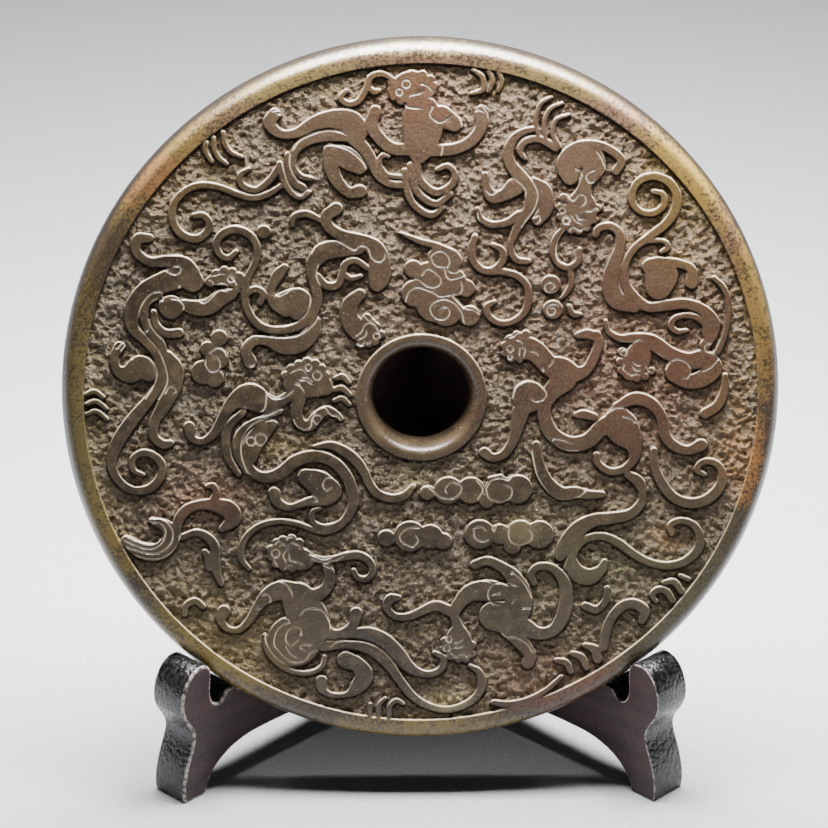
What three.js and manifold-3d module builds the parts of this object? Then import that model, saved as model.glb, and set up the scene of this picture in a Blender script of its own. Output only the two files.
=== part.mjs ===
// Jade bi disc with chi-dragon relief, standing on a folding-easel pair of lacquered boards.
// Millimetres, +Z up. The relief looks along -Y; the origin is on the ground, midway under the object.
import * as THREE from 'three';
import { mergeVertices } from 'three/addons/utils/BufferGeometryUtils.js';
import Module from 'manifold-3d';

const wasm = await Module();
wasm.setup();

// ---------------------------------------------------------------- driving dimensions
const DISC_R = 98.7;                // outer radius of the disc
const DISC_T = 14.5;                // thickness at the raised bands
const BAND_R = 95.2;                // where the flat rim band starts to round over
const RIM_R = 92.4;                 // inner edge of the raised rim band
const COLLAR_R = 17.9;              // outer edge of the raised collar round the hole
const COLLAR_FLAT_R = 16;           // where the collar rounds over into the hole
const HOLE_R = 13.1;                // narrowest radius of the hole, at mid-depth
const FIELD_DEPTH = 1;              // the field lies this far below the bands
const WALL = 0.4;                   // run-out of the sloping walls of the bands
const BACK_DEPTH = 0.8;             // the plain back's field, below its bands
const LEAN = THREE.MathUtils.degToRad(13.24);   // the disc leans back by this much
const DISC_Z = 113.16;              // height of the middle of the front face

const BOARD_T = 12;                 // thickness of a stand board
const BOARD_L = 125;                // length of a board along the ground
const FOOT_L = 8.1;                 // flat length of each foot
const SPREAD = 65.95;               // half distance between the two front feet's inner corners
const ARCH_H = 12.2;                // height of the arch under a board
const LEDGE_Z = 27.1;               // bottom of the notch behind the hook
const REST_Z = 30.0;                // the disc's rim rests just above this part of the ledge
const GROOVE_Z = 24.4;              // the groove's floor falls away to here behind the ledge
const POST_Z = 150;                 // top of the post behind the disc
const LAP_Z = 66;                   // height at which the two boards are halved into each other
const GAP = 0.3;                    // air between neighbouring pieces

const FRONT_Y = -27.86;             // front feet's inner corners, from the disc's face line
const SHIFT_Y = -20.55;             // brings the origin midway between front and back

const TURN = Math.PI / 4;           // each board stands at 45 degrees to the depth
const CHORD = 0.58;                 // how far a facet may leave the true curve of the relief
const BLUNT = 1.1;                  // half width above which a stroke's end is rounded
const FINEST = 1.85;                // strands that are nowhere wider than this stay off the solid

// ---------------------------------------------------------------- solids
function solid(geometry) {
  const bare = geometry.index ? geometry.toNonIndexed() : geometry;
  bare.deleteAttribute('normal');
  bare.deleteAttribute('uv');
  const welded = mergeVertices(bare, 1e-4);
  const mesh = new wasm.Mesh({
    numProp: 3,
    vertProperties: new Float32Array(welded.attributes.position.array),
    triVerts: new Uint32Array(welded.index.array),
  });
  return new wasm.Manifold(mesh);
}

function geometryOf(body) {
  const mesh = body.getMesh();
  const geometry = new THREE.BufferGeometry();
  geometry.setAttribute('position', new THREE.BufferAttribute(mesh.vertProperties, 3));
  geometry.setIndex(new THREE.BufferAttribute(mesh.triVerts, 1));
  return geometry;
}

function prism(outline, from, to) {
  const shape = new THREE.Shape(outline);
  const geometry = new THREE.ExtrudeGeometry(shape, { depth: to - from, bevelEnabled: false });
  geometry.translate(0, 0, from);
  return solid(geometry);
}

// ---------------------------------------------------------------- the relief's strokes
// A stroke is a smooth spine of [x, y, width] stations on the disc's face, with rounded ends.
// A curl winds from angle a0 to a1 (degrees) round its middle while its radius and width shrink.
function curl(x, y, r0, r1, a0, a1, w0, w1) {
  const steps = Math.max(2, Math.ceil(Math.abs(a1 - a0) / 50));
  return Array.from({ length: steps + 1 }, (_, i) => {
    const k = i / steps;
    const a = THREE.MathUtils.degToRad(a0 + (a1 - a0) * k);
    const r = r0 + (r1 - r0) * k;
    return [x + r * Math.cos(a), y + r * Math.sin(a), w0 + (w1 - w0) * k];
  });
}

// A lobe is a round cushion, as on clouds, shoulders and hips.
function lobe(x, y, r) {
  const count = Math.max(8, Math.ceil(Math.PI / Math.acos(1 - CHORD / r)));
  return Array.from({ length: count }, (_, i) => {
    const a = (i / count) * 2 * Math.PI;
    return new THREE.Vector2(x + r * Math.cos(a), y + r * Math.sin(a));
  });
}

function stations(spine) {
  const curve = new THREE.CatmullRomCurve3(spine.map(([x, y, w]) => new THREE.Vector3(x, y, w)));
  const fine = curve.getPoints((spine.length - 1) * 10);
  const kept = [0];
  for (let i = 1; i < fine.length; i++) {
    const a = fine[kept[kept.length - 1]];
    const b = fine[Math.min(i + 1, fine.length - 1)];
    let worst = 0;
    for (let j = kept[kept.length - 1] + 1; j <= i; j++) {
      const line = new THREE.Line3(a, b);
      const near = line.closestPointToPoint(fine[j], true, new THREE.Vector3());
      worst = Math.max(worst, near.distanceTo(fine[j]));
    }
    if (worst > CHORD || i === fine.length - 1) kept.push(i);
  }
  return kept.map((i) => {
    const before = fine[Math.max(i - 1, 0)];
    const after = fine[Math.min(i + 1, fine.length - 1)];
    const along = new THREE.Vector2(after.x - before.x, after.y - before.y).normalize();
    return { at: new THREE.Vector2(fine[i].x, fine[i].y), along, half: fine[i].z / 2 };
  });
}

function strokeOutline(spine) {
  const line = stations(spine);
  const side = (s, sign) => new THREE.Vector2(
    s.at.x - sign * s.along.y * s.half,
    s.at.y + sign * s.along.x * s.half,
  );
  const tip = (s, sign) => new THREE.Vector2(
    s.at.x + sign * s.along.x * s.half * 0.8,
    s.at.y + sign * s.along.y * s.half * 0.8,
  );
  const right = line.map((s) => side(s, -1));
  const left = line.map((s) => side(s, 1)).reverse();
  const first = line[0];
  const last = line[line.length - 1];
  const head = first.half > BLUNT ? [tip(first, -1)] : [];
  const tail = last.half > BLUNT ? [tip(last, 1)] : [];
  return [...head, ...right, ...tail, ...left];
}

// ---------------------------------------------------------------- the relief's figures
// Each figure lists its strokes from the head or the thick end to the tip.
const crestDragon = {
  strokes: [
    [[-7.5, 85, 4], [-3, 86, 9], [1.2, 85.5, 5]],
    [[-0.5, 81, 8], [0, 76, 11], [-0.5, 71, 9], [-1, 67.5, 5]],
    [[-2, 69, 3.4], [-8, 69.2, 3.4], [-11.8, 72.2, 3.4], [-13.8, 75.8, 3.4], [-12.8, 79.5, 3.2]],
    [[0, 68.6, 3.4], [8, 69, 3.2], [12.8, 71, 3.2], [15.7, 74.8, 3.2], [15.9, 79.2, 3.8]],
    [[5, 78, 6], [8.6, 76, 4.4]],
    [[-1.6, 65, 2], [-0.6, 60.4, 2.2], [3.5, 57.2, 2.2], [7.6, 58.9, 2], [8.8, 62, 1.8],
      [6.8, 64.4, 1.6], [4, 63.4, 1.3]],
    [[-3.2, 64.5, 2], [-2, 58.5, 2], [0.5, 55.4, 2], [4, 54, 2], [7.6, 56.6, 1.6]],
    [[-4.8, 63, 1.8], [-4, 57, 1.9], [-1.6, 53, 1.9], [2.5, 50.9, 1.9], [5.6, 52.9, 1.4]],
    [[-8.2, 88.2, 1.2], [-11, 89.6, 1.7], [-14, 88.7, 1.8], [-15.3, 85.5, 1.8], [-17.2, 82.3, 1.8],
      [-20, 81.4, 1.8], [-22.2, 83, 1.6], [-20.6, 85, 1.2]],
    [[-14.6, 86, 1.2], [-13.2, 84.7, 1.8], [-11.8, 85, 1.2]],
    [[13.6, 90.6, 1.1], [16, 88.6, 1.5], [16.2, 85.4, 1.5], [13.2, 84.2, 1.1]],
    [[17.8, 90.2, 1.1], [18.6, 87.6, 1.3], [17.8, 84.8, 1.1]],
    [[20.4, 89.8, 1.1], [21.2, 87.6, 1.3], [20.4, 85, 1.1]],
  ],
  lobes: [],
};

const upperLeftDragon = {
  strokes: [
    [[-40, 78.6, 3.4], [-41.4, 76, 3.4], [-38.4, 73.3, 2.6], [-34, 73.5, 2.8], [-29, 76.2, 4],
      [-24, 77.3, 5.2], [-19.5, 76.3, 6.6], [-18, 73.5, 6]],
    [[-18.5, 72.4, 3], [-25, 72.7, 3.1], [-30.5, 71.6, 2.8], [-34.4, 68.6, 2.4], [-35, 64.6, 1.8],
      [-33.2, 61.8, 1.7], [-30, 60.9, 1.4]],
    [[-36.4, 67.4, 1.8], [-36.4, 63.5, 2], [-34.8, 60, 2.4], [-32.4, 58.4, 2.2]],
    [[-38.6, 65, 1.7], [-37.6, 60.4, 1.7], [-35.4, 57, 1.7], [-32.8, 55.9, 1.7], [-30.6, 57.3, 1.2]],
    [[-25, 68.6, 3.8], [-20.6, 66.6, 6], [-17, 64, 3.8]],
    [[-24.9, 67.6, 4.4], [-24.6, 63.6, 4], [-22.9, 60, 3.4], [-20, 57.2, 3], [-16.8, 57.5, 3.6]],
    [[-18.6, 72, 4], [-15.7, 69, 3.4], [-13.6, 65.4, 3], [-12, 61.8, 2.4], [-9, 59.6, 2.1], [-5, 59.2, 2]],
    [[-9.2, 67, 1], [-10.8, 67.3, 1.4], [-11.7, 65, 1.5], [-9.6, 62, 1.5], [-5.8, 61.4, 1.4]],
    [[-38.8, 64.4, 1.6], [-41.3, 60.6, 1.9], [-45, 57.9, 1.9], [-48.8, 59.2, 1.9], [-49.2, 62, 1.6],
      [-46.9, 63.6, 1.2]],
    [[-38.2, 59, 1.4], [-42, 56.6, 1.8], [-46, 55.7, 1.8], [-50, 56.7, 1.8], [-55, 58.6, 1.8],
      [-60, 59.2, 1.9], [-64.4, 57.4, 2], [-67.3, 53.8, 2.1], [-67.7, 49.6, 2.2], [-65.4, 45.8, 2.3],
      [-61.6, 44.4, 2.3], [-58.6, 46, 2.2], [-57.8, 48.8, 2], [-59.4, 50.9, 1.8], [-61.8, 50.8, 1.6]],
  ],
  lobes: [],
};

const innerLeftDragon = {
  strokes: [
    [[-23.4, 52.6, 3.6], [-26, 50.6, 3.2], [-25.3, 47.6, 3], [-21.5, 45.2, 3.2], [-17, 44, 3.6],
      [-13, 41.8, 4.8], [-11.6, 38, 5.6], [-11.6, 34, 6], [-12.2, 31.6, 4]],
    [[-17, 41.5, 3], [-22, 41.6, 4.6], [-27, 40.6, 5], [-30, 36.4, 3.4], [-29.4, 32.4, 2.8],
      [-28.5, 28, 2.6], [-29.6, 23.8, 2.6], [-32.6, 20.7, 2.5], [-36.5, 19.2, 2.3], [-41, 19.1, 2.2],
      [-44.6, 20.6, 2.2], [-47.2, 24, 2.2], [-48.2, 28.2, 2.1], [-47.6, 33, 2], [-45.4, 37.6, 1.9],
      [-44.8, 41.6, 2], [-46.6, 45.2, 2.2], [-50.4, 47, 2.3], [-54, 45.9, 2.3], [-55.9, 43, 2],
      [-55, 40.2, 1.9], [-52.6, 39.1, 1.8], [-50.5, 40.8, 1.4]],
    [[-14.6, 36, 1.6], [-18, 38.3, 1.8], [-20.8, 37.4, 1.9], [-21.7, 34.6, 1.9], [-23, 31.6, 2.2],
      [-26.2, 31.4, 2.2], [-28.2, 34, 1.6]],
    [[-21.4, 34.8, 1.6], [-19.4, 33.3, 1.6], [-16.6, 34, 1.2]],
    [[-17, 28.9, 3.2], [-19.6, 26, 4.4], [-19.6, 22, 5], [-17, 18.9, 6], [-13.4, 17.8, 4.6]],
    [[-28.8, 21.8, 2.2], [-29.6, 18.6, 4], [-33, 15.4, 5], [-37.5, 14.7, 5], [-42, 15.9, 2.8],
      [-45.6, 16, 2.8], [-47.9, 13.4, 3], [-46.8, 10, 3.6]],
    [[-35.2, 48, 1.2], [-34.8, 50.4, 1.8], [-31.5, 51.3, 2], [-27.6, 49.6, 1.6]],
    [[-47.6, 29.2, 1.8], [-45.4, 30.4, 1.9], [-43.3, 29.2, 1.9], [-44, 26.4, 1.3]],
    [[-37.6, 36, 2], [-39.4, 34, 2.8], [-41, 30, 1.8], [-41, 25, 1.5]],
    [[-39, 27.8, 2.4], [-35.6, 27.6, 5.6], [-33.4, 27, 6.6], [-34.2, 23.4, 3.4]],
  ],
  lobes: [[-43, 46.3, 1.9]],
};

const outerLeftDragon = {
  strokes: [
    [[-74, 44.6, 2.4], [-77, 44.4, 3], [-77.6, 41, 2.6], [-74, 38.1, 2.7], [-69, 38.2, 3.4],
      [-64.6, 37, 4.8], [-62.4, 32.6, 6]],
    [[-63.5, 34.5, 6.5], [-69.5, 32.6, 6], [-75.4, 29.8, 5], [-78.9, 24.8, 4.2], [-78.8, 19.8, 3.2],
      [-75.8, 16.4, 2.6], [-72.9, 13, 2.4], [-71, 8.5, 2.4], [-71.6, 4, 2.6], [-74.6, -0.6, 3],
      [-79, -6, 3.6], [-83, -12, 3.6], [-85, -18.2, 2.6], [-83.2, -23.2, 2.4], [-79.4, -26, 2.4],
      [-75, -25.7, 2.5], [-72, -23, 2.4], [-71.1, -19.4, 2.3], [-73, -16.5, 2.2], [-76.4, -15.4, 2],
      [-79.2, -17.4, 1.9], [-79, -20.4, 1.7], [-76.4, -21.7, 1.2]],
    [[-71.4, 28.7, 1.8], [-74.9, 26.6, 2], [-75.7, 22.6, 2.2], [-74.4, 19, 2.4], [-71.4, 15.6, 2.4],
      [-70.2, 12, 2]],
    [[-64.6, 26, 3.2], [-61.4, 25.2, 4.2], [-58, 25.6, 4.6], [-54.6, 28, 4.4], [-51.8, 29, 3]],
    [[-57.2, 33, 2.6], [-54.4, 33.4, 4.2], [-51.2, 33.2, 4.4]],
    [[-73, 24, 1.6], [-72.4, 20.6, 2], [-69.8, 18.2, 2.4], [-66.2, 18.2, 2.6]],
    [[-82.4, 14.4, 3], [-83.9, 11.4, 2.4], [-83, 7.8, 2.8], [-79.8, 6.8, 5], [-76.6, 8.8, 6.4],
      [-74.4, 6.4, 3.6]],
    [[-69.4, 11.6, 3.4], [-67.4, 8, 4.6], [-68, 3, 4.4], [-70.4, -2, 3.8], [-73, -6.6, 2.8],
      [-73.4, -10.6, 2.5], [-71, -13, 2.6], [-68.8, -12.8, 2]],
    [[-91.4, 1.2, 1.2], [-89.4, 1.9, 1.4], [-87, 0.2, 1.2]],
    [[-91.4, -1.6, 1.2], [-89, -0.9, 1.4], [-86.2, -3, 1.2]],
    [[-91.4, -4.4, 1.2], [-89, -3.7, 1.4], [-86, -6, 1.2]],
    [[-58.4, 70.8, 1.2], [-58.6, 68.4, 1.4], [-57, 65.6, 1.2]],
    [[-56.3, 72, 1.2], [-56.2, 69, 1.4], [-54.9, 66.5, 1.4], [-52.8, 65, 1.1]],
    [[-53.8, 73.6, 1.2], [-53.5, 70.8, 1.4], [-51.8, 68.2, 1.4], [-48.8, 66.9, 1.1]],
  ],
  lobes: [[-68.3, 25.4, 3.3]],
};

const headLeftDragon = {
  strokes: [
    [[-35.4, 4, 5], [-32, 4.5, 9], [-28.4, 4, 7], [-26.2, 2.6, 4]],
    [[-33.2, 0, 5], [-33.5, -4, 5], [-32.6, -6.8, 3.6]],
    [[-36, 0.6, 3], [-39.5, -1.4, 3.2], [-43.5, -1.2, 6], [-47, 0.4, 7.4], [-51, -0.8, 4.4],
      [-53.8, -4.4, 3], [-56.4, -9.4, 2.6], [-59.6, -12.1, 2.1], [-62.8, -11.4, 2.2], [-63.6, -8.2, 3.2]],
    [[-38.6, -3.8, 1.6], [-43.6, -5.8, 1.8], [-48.2, -8.4, 2.2], [-50.4, -12, 2.4], [-50.3, -16.4, 2.1],
      [-48, -21, 1.4]],
    [[-49, -4.2, 2], [-52.4, -7.6, 2.2], [-53.7, -12, 2.3], [-53, -17, 2.1], [-50.2, -21.6, 1.5]],
    [[-44.2, -11.6, 3.4], [-47.2, -13.4, 3.4], [-48, -17.6, 2.6], [-46, -21.2, 2.8], [-42.5, -22.5, 3.2],
      [-38.5, -21.2, 3.6], [-34.5, -17.9, 3.6], [-30, -16.5, 3.4], [-25.6, -17.3, 3.2],
      [-21.9, -20.2, 3.2], [-19.3, -24.8, 3], [-18.6, -30, 2.8], [-21.3, -35, 2.2], [-26, -36.7, 1.8],
      [-29.6, -35.4, 1.6], [-29.8, -32.4, 1.4], [-27.8, -31.4, 1.1]],
    [[-31.6, -22.4, 4.6], [-28.4, -24, 7], [-25.6, -26.4, 7.4]],
    [[-26, -28.4, 4.4], [-32, -29.7, 2.2], [-36.2, -31, 2], [-39.6, -29.4, 2.8], [-40.4, -26.8, 3.2]],
    [[-29.2, -13.8, 1.2], [-25, -13.4, 2.2], [-21.4, -14.9, 2.8], [-18, -17.7, 3], [-15.7, -21, 2.6],
      [-14.1, -24.6, 2.5], [-11.8, -27.3, 2.6], [-8.2, -28.5, 2.4], [-4.6, -27.8, 2.4], [-2.2, -25.2, 1.6]],
    [[-23.4, 5.5, 1.4], [-21.6, 5.9, 1.8], [-19.9, 4.2, 1.4]],
    [[-24, 2.2, 1.4], [-21.8, 2.7, 1.8], [-19.7, 0.8, 1.4]],
    [[-23.8, -0.8, 1.3], [-21.8, -0.2, 1.6], [-19.8, -1.9, 1.3]],
  ],
  lobes: [],
};

const rimLeftDragon = {
  strokes: [
    [[-81, -40.6, 3.4], [-76.6, -43.4, 4.8], [-71.8, -43.4, 5], [-69, -40, 4.6], [-69.9, -36.6, 3.6],
      [-74, -34.8, 2]],
    [[-67.6, -38.6, 2.4], [-66.8, -34.8, 2.8], [-64.4, -31.6, 3], [-60.5, -30.2, 2.8], [-56.6, -30.4, 3.8],
      [-53, -31.6, 5], [-51.8, -34.4, 4.2], [-54.8, -37.2, 1.8]],
    [[-58.9, -25, 1.2], [-57.2, -24.8, 1.7], [-56.3, -27, 2], [-56.9, -29, 2.6]],
    [[-66, -39.6, 1.8], [-62, -38.2, 2.1], [-58.8, -39.5, 2.5], [-56.8, -42.4, 2.7], [-57, -46.4, 3.2],
      [-56.2, -50, 2.2], [-55.1, -53, 1.4]],
    [[-59.6, -43.6, 1.6], [-58.6, -45.6, 2.2], [-58.4, -48.4, 1.8]],
    [[-65.3, -61.8, 1.4], [-64.9, -59.2, 1.9], [-62.4, -57.8, 2], [-60.2, -59.4, 1.7]],
  ],
  lobes: [],
};

const lowerLeftDragon = {
  strokes: [
    [[-47.4, -48.6, 1.3], [-49.4, -46, 1.7], [-49.5, -42.6, 1.8], [-47.6, -38.8, 1.8], [-43.8, -36, 1.7],
      [-38.6, -35, 1.6], [-33.6, -35.9, 1.6], [-29.6, -37.5, 1.6], [-26.2, -38.1, 1.6], [-22.8, -36.8, 1.8],
      [-20, -34.2, 1.8]],
    [[-40.4, -43.4, 3.6], [-36.4, -44.6, 7.4], [-32.4, -46, 6]],
    [[-31, -45.4, 2.4], [-27, -46.1, 2], [-23.6, -45.8, 2], [-20.4, -45, 2.4], [-17, -44.8, 2.4],
      [-14.3, -46.4, 2.2], [-13.2, -49.2, 2], [-14.8, -51.5, 1.9], [-17.4, -51.2, 1.8],
      [-18.5, -49, 1.2]],
    [[-26, -47, 2.6], [-25.1, -51, 3], [-26.6, -54.8, 3.4], [-30.2, -56.5, 4.4], [-34.4, -55.4, 5.4],
      [-38.6, -54.8, 5.6], [-42.2, -56.4, 4.4], [-45, -59.4, 2.8], [-47.2, -63.2, 2.3],
      [-50, -66, 1.9], [-53.2, -66, 1.9], [-55.2, -63.6, 2.4], [-54.4, -60.8, 3.6]],
    [[-34, -57, 9], [-31, -63, 11], [-29, -67, 7]],
    [[-29, -64.5, 6.5], [-25, -67.4, 3.4], [-21.4, -67, 2.5], [-18.6, -64.6, 2.7], [-17.8, -61.4, 3.4]],
    [[-21.4, -67.9, 1.8], [-18, -67.3, 2.8], [-14, -67.5, 4], [-10, -69.4, 4.2], [-6.4, -73, 4.2],
      [-3.2, -77, 3.4], [0, -78.8, 2.3], [3.2, -79.1, 2], [6, -77.5, 1.9], [6.4, -74.6, 1.8],
      [4, -73, 1.4]],
    [[-27, -71, 3], [-20.5, -70.5, 2.4], [-15.5, -71.3, 3], [-11.5, -73.6, 3.2], [-8.2, -77.2, 2.8],
      [-5.2, -81.6, 2.6], [-1.8, -85.8, 2.4], [2.6, -88.5, 2.1], [7.6, -89.5, 2], [12.4, -88.2, 2.1],
      [16, -85.4, 2.2], [17.2, -82, 2.2], [16.4, -78.6, 2], [14, -76.9, 1.3]],
    [[-20.2, -75, 5.6], [-18.2, -79, 6.4], [-16.9, -82.2, 4], [-20, -84.9, 1.9], [-24.4, -85.2, 1.6],
      [-27.2, -83.6, 2.4], [-27.4, -81, 3.2]],
    [[-43.2, -67.6, 1], [-42.4, -72.6, 1.5], [-39, -76.4, 1.7], [-35, -78.4, 1.6], [-30.8, -78.6, 1.6],
      [-27.4, -77, 1.5], [-26.6, -74, 1.3]],
    [[-14, -91.2, 1.1], [-13.8, -87.8, 1.1]],
    [[-11.6, -91.2, 1.2], [-11.3, -88, 1.3], [-9.8, -86.2, 1.1]],
    [[-8.6, -91.4, 1.2], [-8.4, -88.6, 1.4], [-6.6, -86.8, 1.4], [-4.6, -87.8, 1.1]],
  ],
  lobes: [[-35, -69.4, 7.4]],
};

const lowerRightDragon = {
  strokes: [
    [[61, -26.4, 1.8], [60.9, -29.8, 2.4], [57.8, -33.2, 3], [52.6, -34.3, 3.4], [47.6, -35, 3.8],
      [43.4, -37.6, 4.6], [40.6, -41.8, 4.4], [38.8, -46.5, 3.4], [36, -48.2, 2.4], [32.6, -48.2, 2.1],
      [30.7, -50.4, 1.9], [31.2, -53, 1.6]],
    [[38, -49.6, 2.4], [40.4, -53.6, 2.6], [40.9, -58.6, 2.7], [39.8, -63.4, 3], [36.6, -66.8, 3.4],
      [32.5, -67.4, 3.8], [29, -65.6, 5]],
    [[15, -47.6, 2.6], [18.6, -46.5, 2.6], [22.6, -48.4, 3], [26, -51.6, 4.4], [28, -57, 6], [25, -62.4, 9],
      [20.6, -62.4, 8.6]],
    [[24, -55.6, 4], [19, -55, 6], [14, -55.6, 5], [10.8, -58.6, 3.6], [9, -61, 3.2], [4.4, -59.4, 3],
      [0.6, -60.8, 2.5], [-3, -62.4, 2.3], [-6.8, -62.4, 2.1], [-9.2, -60, 2.2], [-8.4, -57.4, 2.8],
      [-6, -57, 1.6]],
    [[9.6, -62, 3], [9.6, -66, 6], [10.4, -70.6, 8], [12.6, -73.6, 3]],
    [[25, -66, 6], [28.2, -70.2, 4.2], [30.6, -73.6, 3.4], [30, -76, 3.6]],
    [[40.2, -46.8, 2], [42.9, -42.2, 2.3], [46.4, -40, 2.2], [50.6, -39.6, 2.3], [54.6, -41.4, 2.5],
      [58.6, -44.4, 2.4], [63, -46.9, 2.3], [68, -48, 2.3], [73, -46.9, 2.5], [76.6, -43.6, 2.6],
      [77.2, -39.4, 2.4], [75.2, -36.2, 2.1], [71.8, -35.1, 1.9], [69, -36.4, 1.8], [69.4, -39, 1.4]],
    [[41.8, -45.6, 2], [43, -49.6, 4.6], [46.4, -51.2, 4.8], [49.8, -49.4, 3], [51, -46.8, 1.8]],
    [[51.7, -54.4, 1.5], [51.5, -57.8, 2], [49, -60.6, 2.3], [45.8, -59.6, 2.4]],
    [[51, -71.5, 2.6], [51.6, -67, 2.6], [53.4, -62.6, 2.7], [56.2, -59.6, 2.9], [59.4, -59, 3],
      [62.2, -61, 3], [61.6, -64, 2]],
    [[38, -75.3, 1.6], [40.6, -76, 2], [41.9, -78.6, 1.6]],
    [[42.3, -73.3, 1.6], [45, -74.5, 2.2], [46.3, -77.4, 1.8]],
    [[45.8, -71, 1.6], [48.6, -72.2, 2.6], [49.4, -75, 2.6]],
    [[65.4, -58.4, 1.2], [64.3, -56.4, 1.7], [65.9, -54.9, 1.9], [68.2, -55.4, 2], [69.9, -58, 1.9]],
    [[67.6, -52.9, 1.4], [70.2, -52.6, 1.9], [72.4, -55.4, 1.9]],
    [[72, -50.9, 1.3], [74.2, -52, 1.5]],
    [[20.6, -87.5, 1.7], [25, -88, 2], [30, -86.8, 1.8], [35, -84.1, 1.6], [39.4, -80, 1.2]],
    [[57.2, -22, 2.4], [59.8, -23.8, 3.2], [61.2, -26.4, 2.4]],
  ],
  lobes: [],
};

const upperRightDragon = {
  strokes: [
    [[31.2, 74.4, 1.2], [28.6, 74.3, 1.8], [25.2, 72.5, 2.3], [23.3, 69, 2.8], [23.8, 65, 3.2], [26.6, 61.4, 3.6],
      [29.3, 57.6, 3.6], [29.2, 53, 3.4], [26.8, 49.2, 2.8], [24.8, 45, 2], [24, 41.6, 1.8],
      [25.6, 38.6, 1.9], [28.8, 38, 1.7]],
    [[36, 69.4, 2.2], [31.6, 71.7, 2], [28, 71.2, 1.9], [26.3, 68.6, 1.7], [27.6, 66.4, 1.2]],
    [[30.2, 60.6, 1.6], [33, 57.4, 4.2], [33.5, 52.6, 3.8], [31.4, 49.4, 3]],
    [[17, 62, 1.8], [17.4, 58.6, 2.4], [19, 56, 3.6], [22, 56.4, 3.4], [25, 58.6, 5]],
    [[15, 52.6, 1.2], [16, 49.8, 1.7], [19, 48.3, 1.9], [23, 48.8, 2.2], [26.4, 51, 2.4]],
    [[31.2, 72.6, 1.1], [30.6, 77, 1.2], [31.8, 81.4, 1.2], [34.6, 83.2, 1]],
    [[33.2, 72, 1.1], [32.8, 76.2, 1.2], [34.4, 80, 1.2], [37.6, 81.6, 1]],
    [[37, 69.6, 1.4], [35.2, 73.2, 1.3], [36, 77, 1.2], [39.4, 78.4, 1]],
    [[52.5, 63, 2.4], [53.8, 66, 2.4], [50.4, 69, 2.4], [46, 70.4, 2.4], [41.6, 69, 4], [39.6, 65, 6.6],
      [40, 61.4, 4.6]],
    [[47, 67.6, 3.4], [46.6, 64, 6], [44.5, 60, 3.6], [43.4, 56, 5], [43, 52, 9], [42.6, 48.8, 5]],
    [[47.2, 45.4, 1.8], [48, 47.2, 2], [51, 47.8, 2.2], [53.6, 45.8, 2.4], [53.8, 42, 2.8], [52.4, 37.4, 3.8],
      [51.4, 32, 4.6], [53, 27.4, 5], [58, 25.4, 3.4]],
    [[39, 47.8, 1.4], [36.4, 44.6, 1.8], [35.6, 40.8, 1.9], [37, 37.6, 1.9], [39.8, 36.3, 1.9],
      [42.5, 38, 1.8], [42.9, 41.4, 1.3]],
    [[40.4, 35, 1.5], [40.7, 32, 1.6], [39.5, 29.4, 1.5], [38, 27.8, 1.1]],
    [[33, 32.4, 1.3], [34.7, 34.2, 1.7], [36.9, 32.8, 1.7], [36.9, 30.2, 1.6], [34.8, 28.8, 1.4],
      [33.4, 30.2, 1.2]],
    [[40.2, 25.6, 1.2], [41.2, 23.4, 1.8], [43.2, 23.2, 1.3]],
  ],
  lobes: [[35.8, 24.6, 2.7]],
};

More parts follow.
